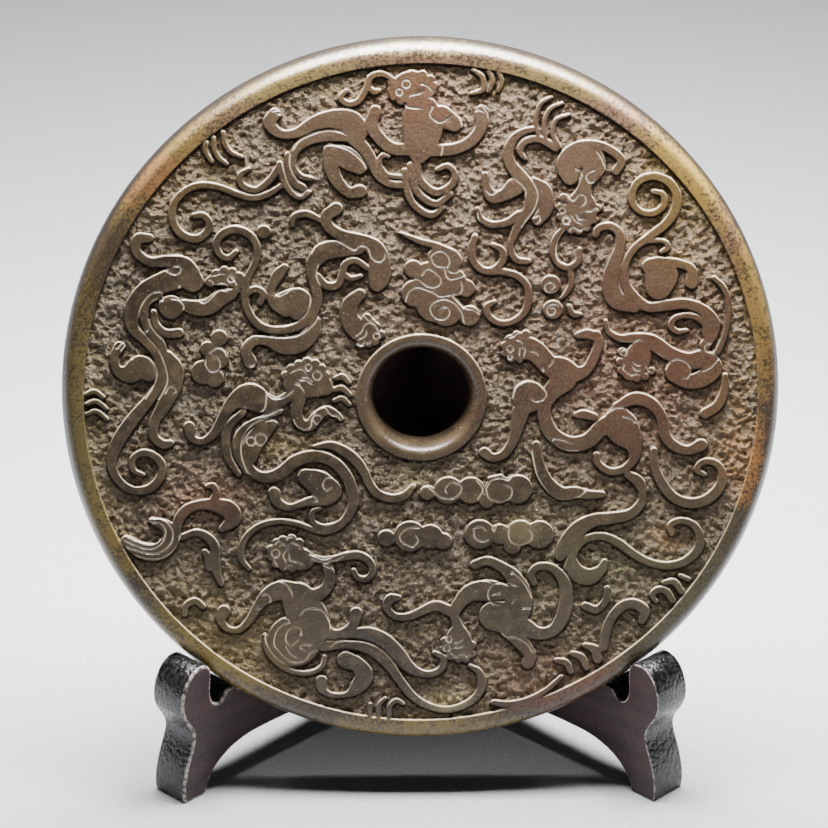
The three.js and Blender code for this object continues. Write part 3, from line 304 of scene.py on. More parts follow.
# %% The inner left dragon
inner_left_dragon = {
    "strokes": [
        [(-23.4, 52.6, 3.6), (-26, 50.6, 3.2), (-25.3, 47.6, 3), (-21.5, 45.2, 3.2), (-17, 44, 3.6),
         (-13, 41.8, 4.8), (-11.6, 38, 5.6), (-11.6, 34, 6), (-12.2, 31.6, 4)],
        [(-17, 41.5, 3), (-22, 41.6, 4.6), (-27, 40.6, 5), (-30, 36.4, 3.4), (-29.4, 32.4, 2.8),
         (-28.5, 28, 2.6), (-29.6, 23.8, 2.6), (-32.6, 20.7, 2.5), (-36.5, 19.2, 2.3),
         (-41, 19.1, 2.2), (-44.6, 20.6, 2.2), (-47.2, 24, 2.2), (-48.2, 28.2, 2.1), (-47.6, 33, 2),
         (-45.4, 37.6, 1.9), (-44.8, 41.6, 2), (-46.6, 45.2, 2.2), (-50.4, 47, 2.3), (-54, 45.9, 2.3),
         (-55.9, 43, 2), (-55, 40.2, 1.9), (-52.6, 39.1, 1.8), (-50.5, 40.8, 1.4)],
        [(-14.6, 36, 1.6), (-18, 38.3, 1.8), (-20.8, 37.4, 1.9), (-21.7, 34.6, 1.9), (-23, 31.6, 2.2),
         (-26.2, 31.4, 2.2), (-28.2, 34, 1.6)],
        [(-21.4, 34.8, 1.6), (-19.4, 33.3, 1.6), (-16.6, 34, 1.2)],
        [(-17, 28.9, 3.2), (-19.6, 26, 4.4), (-19.6, 22, 5), (-17, 18.9, 6), (-13.4, 17.8, 4.6)],
        [(-28.8, 21.8, 2.2), (-29.6, 18.6, 4), (-33, 15.4, 5), (-37.5, 14.7, 5), (-42, 15.9, 2.8),
         (-45.6, 16, 2.8), (-47.9, 13.4, 3), (-46.8, 10, 3.6)],
        [(-35.2, 48, 1.2), (-34.8, 50.4, 1.8), (-31.5, 51.3, 2), (-27.6, 49.6, 1.6)],
        [(-47.6, 29.2, 1.8), (-45.4, 30.4, 1.9), (-43.3, 29.2, 1.9), (-44, 26.4, 1.3)],
        [(-37.4, 36.4, 2.2), (-39.4, 34, 3.2), (-41, 30, 1.9), (-40.4, 26.4, 2.6), (-37, 24.6, 4)],
        [(-39, 27.8, 2.4), (-35.6, 27.6, 5.6), (-33.4, 27, 6.6), (-34.2, 23.4, 3.4)],
    ],
    "lobes": [
        (-43, 46.3, 1.9), (-15, 22.4, 1.3), (-13.7, 21.1, 1.2), (-12.3, 20, 1.1),
        (-11.1, 17.7, 1.2), (-12.7, 15.7, 1.1), (-14.5, 15.2, 1.2), (-16.7, 15, 1.2),
    ],
    "cuts": [
        [(-30, 40.5), (-28.5, 42.8), (-25, 44.5), (-22, 43.5), (-19.5, 42), (-18, 41.5), (-17, 42.6),
         (-15.5, 42.5), (-14.5, 41.5), (-13.7, 39.3), (-12, 38.2), (-10.5, 38.7), (-10, 40.5)],
        [(-14.5, 32.3), (-15.2, 31), (-14.5, 29.5), (-12.8, 28.5)],
        [(-28.3, 37), (-28.6, 34), (-27.6, 31.5)],
        [(-27, 29), (-27, 26), (-28, 23), (-30, 20.2), (-33, 18), (-36, 17.2), (-40, 17.2),
         (-44, 17.8), (-46.5, 17.3), (-48.5, 15.5)],
        [(-40, 29.5), (-39, 28.7), (-37, 29.5), (-35, 31), (-33, 31.5), (-31, 30.5), (-30.3, 28),
         (-30.8, 25), (-32.5, 22.5), (-34.8, 21.3)],
        [(-17.8, 17.6), (-16.5, 18.5), (-16, 19.7)],
        [(-16.8, 16.8), (-15.3, 17.5), (-15, 19)],
        [(-17.6, 15.3), (-16.2, 14.9), (-15.6, 16), (-14.6, 15.4), (-13.5, 16.3)],
        [(-15.8, 23.2), (-14.9, 22.2), (-13.9, 21.4), (-12.9, 20.4)],
        [(-15, 20.8), (-13.5, 21.5), (-11.5, 18.3)],
        [(-44.2, 10.6), (-43.8, 10.1), (-43.3, 9.8)],
        [(-45.8, 9), (-45.4, 8.6), (-45, 8.5)],
    ],
    "rings": [(-12.3, 17.5, 0.9)],
}
tally("The inner left dragon", inner_left_dragon)

# %% The outer left dragon
outer_left_dragon = {
    "strokes": [
        [(-74, 44.6, 2.4), (-77, 44.4, 3), (-77.6, 41, 2.6), (-74, 38.1, 2.7), (-69, 38.2, 3.4),
         (-64.6, 37, 4.8), (-62.4, 32.6, 6)],
        [(-63.5, 34.5, 6.5), (-69.5, 32.6, 6), (-75.4, 29.8, 5), (-78.9, 24.8, 4.2),
         (-78.8, 19.8, 3.2), (-75.8, 16.4, 2.6), (-72.9, 13, 2.4), (-71, 8.5, 2.4), (-71.6, 4, 2.6),
         (-74.6, -0.6, 3), (-79, -6, 3.6), (-83, -12, 3.6), (-85, -18.2, 2.6), (-83.2, -23.2, 2.4),
         (-79.4, -26, 2.4), (-75, -25.7, 2.5), (-72, -23, 2.4), (-71.1, -19.4, 2.3), (-73, -16.5, 2.2),
         (-76.4, -15.4, 2), (-79.2, -17.4, 1.9), (-79, -20.4, 1.7), (-76.4, -21.7, 1.2)],
        [(-71.4, 28.7, 1.8), (-74.9, 26.6, 2), (-75.7, 22.6, 2.2), (-74.4, 19, 2.4),
         (-71.4, 15.6, 2.4), (-70.2, 12, 2)],
        [(-64.6, 26, 3.2), (-61.4, 25.2, 4.2), (-58, 25.6, 4.6), (-54.6, 28, 4.4), (-51.8, 29, 3)],
        [(-57.2, 33, 2.6), (-54.4, 33.4, 4.2), (-51.2, 33.2, 4.4)],
        [(-73, 24, 1.6), (-72.4, 20.6, 2), (-69.8, 18.2, 2.4), (-66.2, 18.2, 2.6)],
        [(-82.4, 14.4, 3), (-83.9, 11.4, 2.4), (-83, 7.8, 2.8), (-79.8, 6.8, 5), (-76.6, 8.8, 6.4),
         (-74.4, 6.4, 3.6)],
        [(-69.4, 11.6, 3.4), (-67.4, 8, 4.6), (-68, 3, 4.4), (-70.4, -2, 3.8), (-73, -6.6, 2.8),
         (-73.4, -10.6, 2.5), (-71, -13, 2.6), (-68.8, -12.8, 2)],
        [(-91.4, 1.2, 1.2), (-89.4, 1.9, 1.4), (-87, 0.2, 1.2)],
        [(-91.4, -1.6, 1.2), (-89, -0.9, 1.4), (-86.2, -3, 1.2)],
        [(-91.4, -4.4, 1.2), (-89, -3.7, 1.4), (-86, -6, 1.2)],
        [(-58.4, 70.8, 1.2), (-58.6, 68.4, 1.4), (-57, 65.6, 1.2)],
        [(-56.3, 72, 1.2), (-56.2, 69, 1.4), (-54.9, 66.5, 1.4), (-52.8, 65, 1.1)],
        [(-53.8, 73.6, 1.2), (-53.5, 70.8, 1.4), (-51.8, 68.2, 1.4), (-48.8, 66.9, 1.1)],
    ],
    "lobes": [
        (-68.3, 25.4, 3.3), (-57.6, 32.4, 1.4), (-56, 34.8, 1.2), (-53.8, 35.7, 1.2),
        (-51.6, 35.3, 1.2), (-49.7, 33.9, 1.3), (-49.3, 31.8, 1.2), (-50.5, 30.2, 1.1),
    ],
    "cuts": [
        [(-71.5, 36.2), (-70.5, 36.8), (-69, 35.5), (-67, 34.7), (-65.6, 35.4), (-65.8, 37),
         (-67.6, 36.8)],
        [(-70.4, 27.5), (-70.3, 29), (-71.5, 30), (-74, 29), (-76, 26.5), (-77, 23.5), (-77, 20.5),
         (-75.6, 18.5), (-74.3, 19.5)],
        [(-70.5, 27.3), (-72.5, 27.7), (-74, 26), (-74.3, 23), (-73.5, 20), (-71.5, 17.5),
         (-67.3, 14.2)],
        [(-74.5, 17), (-72.5, 15), (-71, 12), (-69.8, 8.5), (-69.4, 5), (-70.5, 2), (-72, -0.5)],
        [(-79, 11), (-77.5, 13), (-75.8, 13.3), (-74, 12), (-72.5, 9.5), (-72.3, 6.5), (-73.5, 3),
         (-75.5, 0)],
        [(-65.8, 31), (-65, 29), (-63, 28), (-61.5, 28.2), (-60, 27), (-58.8, 27), (-57, 28.5),
         (-55, 30.3), (-53, 30)],
        [(-68, 28), (-66, 27.5), (-64.8, 25.8), (-65, 24.3)],
        [(-84, 15), (-83.2, 15.8), (-82.5, 16.3)],
        [(-82.8, 14.2), (-82, 15.2), (-81.3, 16)],
        [(-82, 13.5), (-81.3, 14.4), (-80.7, 15)],
        [(-56, 34.5), (-55.2, 34.8), (-54.5, 34.9)],
        [(-56, 31.8), (-54.5, 32.4), (-53.3, 32), (-52.6, 31)],
        [(-55.6, 30.5), (-54.2, 31), (-53, 30.4)],
        [(-57.8, 33.2), (-57, 32.8), (-56.6, 31.8)],
        [(-52, 34), (-51, 33), (-50.3, 31.5)],
        [(-70, 1.5), (-69, 3.2), (-67.8, 3.2), (-67, 2), (-67.8, 1.4)],
    ],
    "rings": [(-51.9, 33.5, 0.9)],
}
tally("The outer left dragon", outer_left_dragon)

# %% The dragon left of the hole
head_left_dragon = {
    "strokes": [
        [(-35.4, 4, 5), (-32, 4.5, 9), (-28.4, 4, 7), (-26.2, 2.6, 4)],
        [(-33.4, 0, 3.6), (-34.2, -4, 3.2), (-33.2, -7.2, 3.2), (-30.6, -7.8, 3.2), (-28.6, -5.4, 3.2),
         (-26, -3.6, 2.6), (-23.6, -4.6, 2.2), (-22, -6, 1.4)],
        [(-40.6, -7.4, 2.4), (-43.6, -9.6, 5), (-46, -13, 5.2), (-47, -17, 3.6)],
        [(-36, 0.6, 3), (-39.5, -1.4, 3.2), (-43.5, -1.2, 6), (-47, 0.4, 7.4), (-51, -0.8, 4.4),
         (-53.8, -4.4, 3), (-56.4, -9.4, 2.6), (-59.6, -12.1, 2.1), (-62.8, -11.4, 2.2),
         (-63.6, -8.2, 3.2)],
        [(-38.6, -3.8, 1.6), (-43.6, -5.8, 1.8), (-48.2, -8.4, 2.2), (-50.4, -12, 2.4),
         (-50.3, -16.4, 2.1), (-48, -21, 1.4)],
        [(-49, -4.2, 2), (-52.4, -7.6, 2.2), (-53.7, -12, 2.3), (-53, -17, 2.1), (-50.2, -21.6, 1.5)],
        [(-44.2, -11.6, 3.4), (-47.2, -13.4, 3.4), (-48, -17.6, 2.6), (-46, -21.2, 2.8),
         (-42.5, -22.5, 3.2), (-38.5, -21.2, 3.6), (-34.5, -17.9, 3.6), (-30, -16.5, 3.4),
         (-25.6, -17.3, 3.2), (-21.9, -20.2, 3.2), (-19.3, -24.8, 3), (-18.6, -30, 2.8),
         (-21.3, -35, 2.2), (-26, -36.7, 1.8), (-29.6, -35.4, 1.6), (-29.8, -32.4, 1.4),
         (-27.8, -31.4, 1.1)],
        [(-31.6, -22.4, 4.6), (-28.4, -24, 7), (-25.6, -26.4, 7.4)],
        [(-26, -28.4, 4.4), (-32, -29.7, 2.2), (-36.2, -31, 2), (-39.6, -29.4, 2.8),
         (-40.4, -26.8, 3.2)],
        [(-29.2, -13.8, 1.2), (-25, -13.4, 2.2), (-21.4, -14.9, 2.8), (-18, -17.7, 3),
         (-15.7, -21, 2.6), (-14.1, -24.6, 2.5), (-11.8, -27.3, 2.6), (-8.2, -28.5, 2.4),
         (-4.6, -27.8, 2.4), (-2.2, -25.2, 1.6)],
        [(-23.4, 5.5, 1.4), (-21.6, 5.9, 1.8), (-19.9, 4.2, 1.4)],
        [(-24, 2.2, 1.4), (-21.8, 2.7, 1.8), (-19.7, 0.8, 1.4)],
        [(-23.8, -0.8, 1.3), (-21.8, -0.2, 1.6), (-19.8, -1.9, 1.3)],
    ],
    "lobes": [
        (-37.2, 6.2, 1.3), (-35.6, 8.2, 1.3), (-33.6, 9.3, 1.3), (-31.3, 10, 1.4),
        (-29.1, 9.6, 1.3), (-27.3, 8.3, 1.2), (-26.3, 6.3, 1.2), (-26.6, 4, 1.1), (-28.4, 1.4, 1.2),
    ],
    "cuts": [
        [(-48.3, -2.5), (-47, -4.2), (-44.8, -4.3), (-43, -3), (-42.5, -1), (-42.3, 1.5)],
        [(-42.5, 1.5), (-40.5, 0), (-38, 0.2), (-36, 1.3), (-35, 2.3)],
        [(-37.3, -2), (-39, -3.3), (-42, -4.7), (-46, -5.5), (-48.5, -6.5), (-50, -8.5), (-51.5, -11),
         (-52.3, -14), (-51.5, -17.5), (-50, -20), (-48, -21.7)],
        [(-39.5, -6.7), (-41, -5.9), (-43.5, -5.9), (-46, -7.2), (-48, -9.5), (-49.3, -12.5),
         (-49.3, -16), (-48.5, -19), (-47.2, -21.7)],
        [(-34, -22), (-33, -20.3), (-31, -19.2), (-29, -19.2), (-27, -20.5)],
        [(-24.5, -25.3), (-26, -26), (-27, -24.8), (-26.3, -23), (-24.3, -22.2), (-22.3, -22.8),
         (-21, -24.5), (-20.3, -27), (-20.5, -30), (-22, -33), (-24.5, -35.2), (-27, -35.5),
         (-28.7, -34.5), (-29, -33.5)],
        [(-31, -27.5), (-29.7, -27.6), (-28.5, -29), (-29.7, -29.7)],
        [(-35, 7.7), (-33, 8.4), (-31.5, 7)],
        [(-33, 5.2), (-31.5, 5.2), (-30, 4)],
        [(-32.3, 6), (-31, 5.9), (-29.8, 4.5)],
        [(-33.3, 3.5), (-32.5, 2.6), (-32, 1.6)],
        [(-35, -6), (-34, -8), (-32, -8.9), (-30.3, -8), (-30, -5.5)],
        [(-29.5, -4.5), (-28.5, -3.3), (-26.5, -2.5), (-25, -4.5), (-23, -5), (-22, -6.4)],
    ],
    "rings": [(-44, -11.5, 1.6), (-46.7, -12, 1.2), (-30.9, 8.8, 0.9), (-28.5, 6.5, 1.2), (-28.5, -5.8, 1.2)],
}
tally("The dragon left of the hole", head_left_dragon)

# %% The comb and paws at the left rim
rim_left_dragon = {
    "strokes": [
        [(-81, -40.6, 3.4), (-76.6, -43.4, 4.8), (-71.8, -43.4, 5), (-69, -40, 4.6),
         (-69.9, -36.6, 3.6), (-74, -34.8, 2)],
        [(-67.6, -38.6, 2.4), (-66.8, -34.8, 2.8), (-64.4, -31.6, 3), (-60.5, -30.2, 2.8),
         (-56.6, -30.4, 3.8), (-53, -31.6, 5), (-51.8, -34.4, 4.2), (-54.8, -37.2, 1.8)],
        [(-58.9, -25, 1.2), (-57.2, -24.8, 1.7), (-56.3, -27, 2), (-56.9, -29, 2.6)],
        [(-66, -39.6, 1.8), (-62, -38.2, 2.1), (-58.8, -39.5, 2.5), (-56.8, -42.4, 2.7),
         (-57, -46.4, 3.2), (-56.2, -50, 2.2), (-55.1, -53, 1.4)],
        [(-59.6, -43.6, 1.6), (-58.6, -45.6, 2.2), (-58.4, -48.4, 1.8)],
        [(-65.3, -61.8, 1.4), (-64.9, -59.2, 1.9), (-62.4, -57.8, 2), (-60.2, -59.4, 1.7)],
    ],
    "lobes": [],
    "cuts": [
        [(-83, -37.5), (-80, -39.5), (-77, -40.8), (-74.5, -41.3), (-72.8, -40.8), (-72, -39.7)],
        [(-81.7, -40), (-78, -41.8), (-75, -42.6), (-72.5, -42), (-70.8, -40), (-70.3, -37.5),
         (-71.3, -35.7), (-73.5, -35), (-76.7, -35.3)],
        [(-81, -42), (-77, -43.4), (-73.5, -44), (-70.5, -42.8), (-68.7, -40.7), (-68.3, -38),
         (-69.5, -35.5), (-71.5, -34), (-75.3, -34)],
        [(-79.7, -44.3), (-76, -45.5), (-72, -45.5), (-69, -44), (-67, -41.5), (-66.3, -38.7)],
    ],
    "rings": [],
}
tally("The comb and paws at the left rim", rim_left_dragon)

# %% The lower left dragon
lower_left_dragon = {
    "strokes": [
        [(-47.4, -48.6, 1.3), (-49.4, -46, 1.7), (-49.5, -42.6, 1.8), (-47.6, -38.8, 1.8),
         (-43.8, -36, 1.7), (-38.6, -35, 1.6), (-33.6, -35.9, 1.6), (-29.6, -37.5, 1.6),
         (-26.2, -38.1, 1.6), (-22.8, -36.8, 1.8), (-20, -34.2, 1.8)],
        [(-40.4, -43.4, 3.6), (-36.4, -44.6, 7.4), (-32.4, -46, 6)],
        [(-31, -45.4, 2.4), (-27, -46.1, 2), (-23.6, -45.8, 2), (-20.4, -45, 2.4), (-17, -44.8, 2.4),
         (-14.3, -46.4, 2.2), (-13.2, -49.2, 2), (-14.8, -51.5, 1.9), (-17.4, -51.2, 1.8),
         (-18.5, -49, 1.2)],
        [(-26, -47, 2.6), (-25.1, -51, 3), (-26.6, -54.8, 3.4), (-30.2, -56.5, 4.4),
         (-34.4, -55.4, 5.4), (-38.6, -54.8, 5.6), (-42.2, -56.4, 4.4), (-45, -59.4, 2.8),
         (-47.2, -63.2, 2.3), (-50, -66, 1.9), (-53.2, -66, 1.9), (-55.2, -63.6, 2.4),
         (-54.4, -60.8, 3.6)],
        [(-34, -57, 9), (-31, -63, 11), (-29, -67, 7)],
        [(-29, -64.5, 6.5), (-25, -67.4, 3.4), (-21.4, -67, 2.5), (-18.6, -64.6, 2.7),
         (-17.8, -61.4, 3.4)],
        [(-21.4, -67.9, 1.8), (-18, -67.3, 2.8), (-14, -67.5, 4), (-10, -69.4, 4.2), (-6.4, -73, 4.2),
         (-3.2, -77, 3.4), (0, -78.8, 2.3), (3.2, -79.1, 2), (6, -77.5, 1.9), (6.4, -74.6, 1.8),
         (4, -73, 1.4)],
        [(-27, -71, 3), (-20.5, -70.5, 2.4), (-15.5, -71.3, 3), (-11.5, -73.6, 3.2),
         (-8.2, -77.2, 2.8), (-5.2, -81.6, 2.6), (-1.8, -85.8, 2.4), (2.6, -88.5, 2.1),
         (7.6, -89.5, 2), (12.4, -88.2, 2.1), (16, -85.4, 2.2), (17.2, -82, 2.2), (16.4, -78.6, 2),
         (14, -76.9, 1.3)],
        [(-20.6, -75, 5), (-17.4, -76.4, 4.4), (-15.6, -79.4, 5), (-17, -82.4, 4.4), (-20, -84.9, 1.9),
         (-24.4, -85.2, 1.6), (-27.2, -83.6, 2.4), (-27.4, -81, 3.2)],
        [(-43.2, -67.6, 1), (-42.4, -72.6, 1.5), (-39, -76.4, 1.7), (-35, -78.4, 1.6),
         (-30.8, -78.6, 1.6), (-27.4, -77, 1.5), (-26.6, -74, 1.3)],
        [(-14, -91.2, 1.1), (-13.8, -87.8, 1.1)],
        [(-11.6, -91.2, 1.2), (-11.3, -88, 1.3), (-9.8, -86.2, 1.1)],
        [(-8.6, -91.4, 1.2), (-8.4, -88.6, 1.4), (-6.6, -86.8, 1.4), (-4.6, -87.8, 1.1)],
    ],
    "lobes": [
        (-35, -69.4, 7.4), (-39.7, -41.1, 1.2), (-38, -40.4, 1.3), (-35.7, -40, 1.3),
        (-33.5, -41.2, 1.3), (-41.4, -43, 1.2), (-41.2, -45.2, 1.2), (-40, -47.2, 1.2),
        (-37.8, -48.2, 1.2), (-35.5, -48.5, 1.2), (-33.2, -48, 1.2),
    ],
    "cuts": [
        [(-44, -56), (-42.8, -55.7), (-41.5, -57), (-42, -59), (-44, -60), (-45.5, -60.5)],
        [(-45, -55), (-43.5, -53), (-41.5, -52), (-39.5, -51.7), (-37.5, -52.7), (-36, -54.5),
         (-35.3, -56.3)],
        [(-33, -61.5), (-32, -60.3), (-29.5, -59.8), (-27.3, -60.5), (-25.8, -62.5), (-25, -64.5),
         (-24.9, -66)],
        [(-29, -72), (-27.8, -73), (-27.3, -75), (-28.5, -77), (-31.5, -77.8), (-35, -77.3),
         (-38.5, -75.5), (-41, -73), (-42.8, -69.5), (-42.8, -66.5), (-42, -64), (-40.5, -62.4),
         (-38.5, -62), (-36.8, -63), (-36.2, -64), (-38, -64.5), (-39.5, -66), (-40.3, -68),
         (-40.5, -70.5), (-39, -72.5), (-37, -74.5), (-34.5, -75.3), (-32, -74.8), (-30.5, -73),
         (-29.3, -72)],
        [(-33, -66.8), (-33.3, -65.8), (-35, -65.2), (-36.7, -66.5), (-37.3, -69), (-36, -70.7),
         (-34.5, -69.7), (-33.7, -69)],
        [(-37.3, -71), (-36, -73), (-34, -74.3)],
        [(-32, -72), (-33.3, -71.3), (-32.5, -70.3), (-30, -70.4)],
        [(-25, -71), (-22.5, -69.3), (-20, -68.9), (-17, -69), (-14, -69.8), (-11, -71.8), (-8, -75),
         (-5.5, -78.5)],
        [(-23.5, -75), (-22.7, -73), (-20.5, -72), (-17.3, -72.7)],
        [(-30.7, -44.2), (-29, -45), (-27, -45.7), (-24.5, -45.3)],
        [(-29.7, -45.8), (-27, -46.8), (-24, -46.2), (-21, -45)],
        [(-29, -47.3), (-26, -47.7), (-24, -48.7), (-23.5, -50)],
        [(-32, -42.7), (-30, -43), (-28, -43.8)],
        [(-40, -41.2), (-39.2, -40.6), (-38.5, -41)],
        [(-38.9, -42), (-38.2, -41.4), (-37.4, -41.7)],
        [(-37, -39.9), (-36.2, -39.4), (-35.3, -39.3)],
        [(-37.2, -48.1), (-36.4, -47.6), (-35.5, -47.6)],
        [(-35.5, -41), (-34, -41.5), (-33, -42.7)],
        [(-37.5, -45.8), (-38, -44.5), (-37, -43.3)],
        [(-36.3, -44.3), (-36, -46), (-34, -46.5), (-32.5, -47.3)],
        [(-40.5, -45.5), (-40, -47), (-39, -48.3)],
    ],
    "rings": [(-40, -44, 1.1)],
}
tally("The lower left dragon", lower_left_dragon)

# %% The lower right dragon
lower_right_dragon = {
    "strokes": [
        [(61, -26.4, 1.8), (60.9, -29.8, 2.4), (57.8, -33.2, 3), (52.6, -34.3, 3.4), (47.6, -35, 3.8),
         (43.4, -37.6, 4.6), (40.2, -41.8, 4.4), (38.7, -45.4, 2.6)],
        [(31.4, -53, 1.6), (30.6, -50.4, 2), (32.6, -48.2, 2.2), (36, -48.4, 2.4), (38.6, -50.6, 2.8),
         (40.2, -54, 3.4), (40.4, -58.6, 3.8), (39.2, -63.4, 3.8),
         (36.6, -66.8, 3.4), (32.5, -67.4, 3.8), (29, -65.6, 5)],
        [(15, -47.6, 2.6), (18.6, -46.5, 2.6), (22.6, -48.4, 3), (26, -51.6, 4.4), (28, -57, 6),
         (25, -62.4, 9), (20.6, -62.4, 8.6)],
        [(24, -55.6, 4), (19, -55, 6), (14, -55.6, 5), (10.8, -58.6, 3.6), (9, -61, 3.2),
         (4.4, -59.4, 3), (0.6, -60.8, 2.5), (-3, -62.4, 2.3), (-6.8, -62.4, 2.1), (-9.2, -60, 2.2),
         (-8.4, -57.4, 2.8), (-6, -57, 1.6)],
        [(9.2, -61.6, 2.6), (10.4, -65.4, 3), (10.6, -68.8, 6.6), (11, -71.6, 7.4), (12.6, -73.6, 3)],
        [(25, -66, 6), (28.2, -70.2, 4.2), (30.6, -73.6, 3.4), (30, -76, 3.6)],
        [(40.6, -48.6, 2), (43.2, -42.6, 2.3), (46.4, -40, 2.2), (50.6, -39.6, 2.3),
         (54.6, -41.4, 2.5), (58.6, -44.4, 2.4), (63, -46.9, 2.3), (68, -48, 2.3), (73, -46.9, 2.5),
         (76.6, -43.6, 2.6), (77.2, -39.4, 2.4), (75.2, -36.2, 2.1), (71.8, -35.1, 1.9),
         (69, -36.4, 1.8), (69.4, -39, 1.4)],
        [(41.8, -45.6, 2), (43, -49.6, 4.6), (46.4, -51.2, 4.8), (49.8, -49.4, 3), (51, -46.8, 1.8)],
        [(51.7, -54.4, 1.5), (51.5, -57.8, 2), (49, -60.6, 2.3), (45.8, -59.6, 2.4)],
        [(51, -71.5, 2.6), (51.6, -67, 2.6), (53.4, -62.6, 2.7), (56.2, -59.6, 2.9), (59.4, -59, 3),
         (62.2, -61, 3), (61.6, -64, 2)],
        [(38, -75.3, 1.6), (40.6, -76, 2), (41.9, -78.6, 1.6)],
        [(42.3, -73.3, 1.6), (45, -74.5, 2.2), (46.3, -77.4, 1.8)],
        [(45.8, -71, 1.6), (48.6, -72.2, 2.6), (49.4, -75, 2.6)],
        [(65.4, -58.4, 1.2), (64.3, -56.4, 1.7), (65.9, -54.9, 1.9), (68.2, -55.4, 2),
         (69.9, -58, 1.9)],
        [(67.6, -52.9, 1.4), (70.2, -52.6, 1.9), (72.4, -55.4, 1.9)],
        [(72, -50.9, 1.3), (74.2, -52, 1.5)],
        [(20.6, -87.5, 1.7), (25, -88, 2), (30, -86.8, 1.8), (35, -84.1, 1.6), (39.4, -80, 1.2)],
        [(57.2, -22, 2.4), (59.8, -23.8, 3.2), (61.2, -26.4, 2.4)],
    ],
    "lobes": [
        (6.8, -69.6, 1.2), (6.7, -71.8, 1.2), (8.5, -74, 1.2), (10.7, -74.8, 1.2),
        (12.8, -74.9, 1.1), (14.4, -73.4, 1.1), (14.4, -70.8, 1.2),
    ],
    "cuts": [
        [(26, -53.3), (22.5, -52.7), (20.5, -53), (19, -54.7), (18.8, -57), (20, -58.8), (22, -59.5)],
        [(17, -58.6), (15.3, -59.2), (14.4, -60.7), (14.2, -61.7)],
        [(8, -58.5), (9.5, -55.5), (12, -53.3), (15, -52), (17.5, -51.8), (19.5, -52.6)],
        [(25.7, -50), (28, -52), (30, -55), (31, -57.3)],
        [(20.5, -55.9), (21, -55.8), (21.5, -55.7)],
        [(25.5, -58.5), (26, -57.8), (26.5, -57.3)],
        [(29, -59.9), (30, -60), (31, -59.9)],
        [(22.5, -67.3), (24, -68.5), (26, -68.3), (29.5, -70.3), (31.5, -73)],
        [(27, -76.2), (27.8, -75.4), (28.5, -74.9)],
        [(9.5, -69.8), (11, -69.7), (12, -69.1)],
        [(9.8, -71.2), (11, -71.2), (12, -70.8)],
        [(8.8, -73.3), (9.8, -74), (11, -74.2)],
        [(11, -73.3), (12.3, -73.4), (13, -74.6)],
        [(13, -74.4), (13.6, -73.6), (14.4, -73.9)],
    ],
    "rings": [(7.4, -71.6, 0.9), (8, -68.9, 0.8)],
}
tally("The lower right dragon", lower_right_dragon)

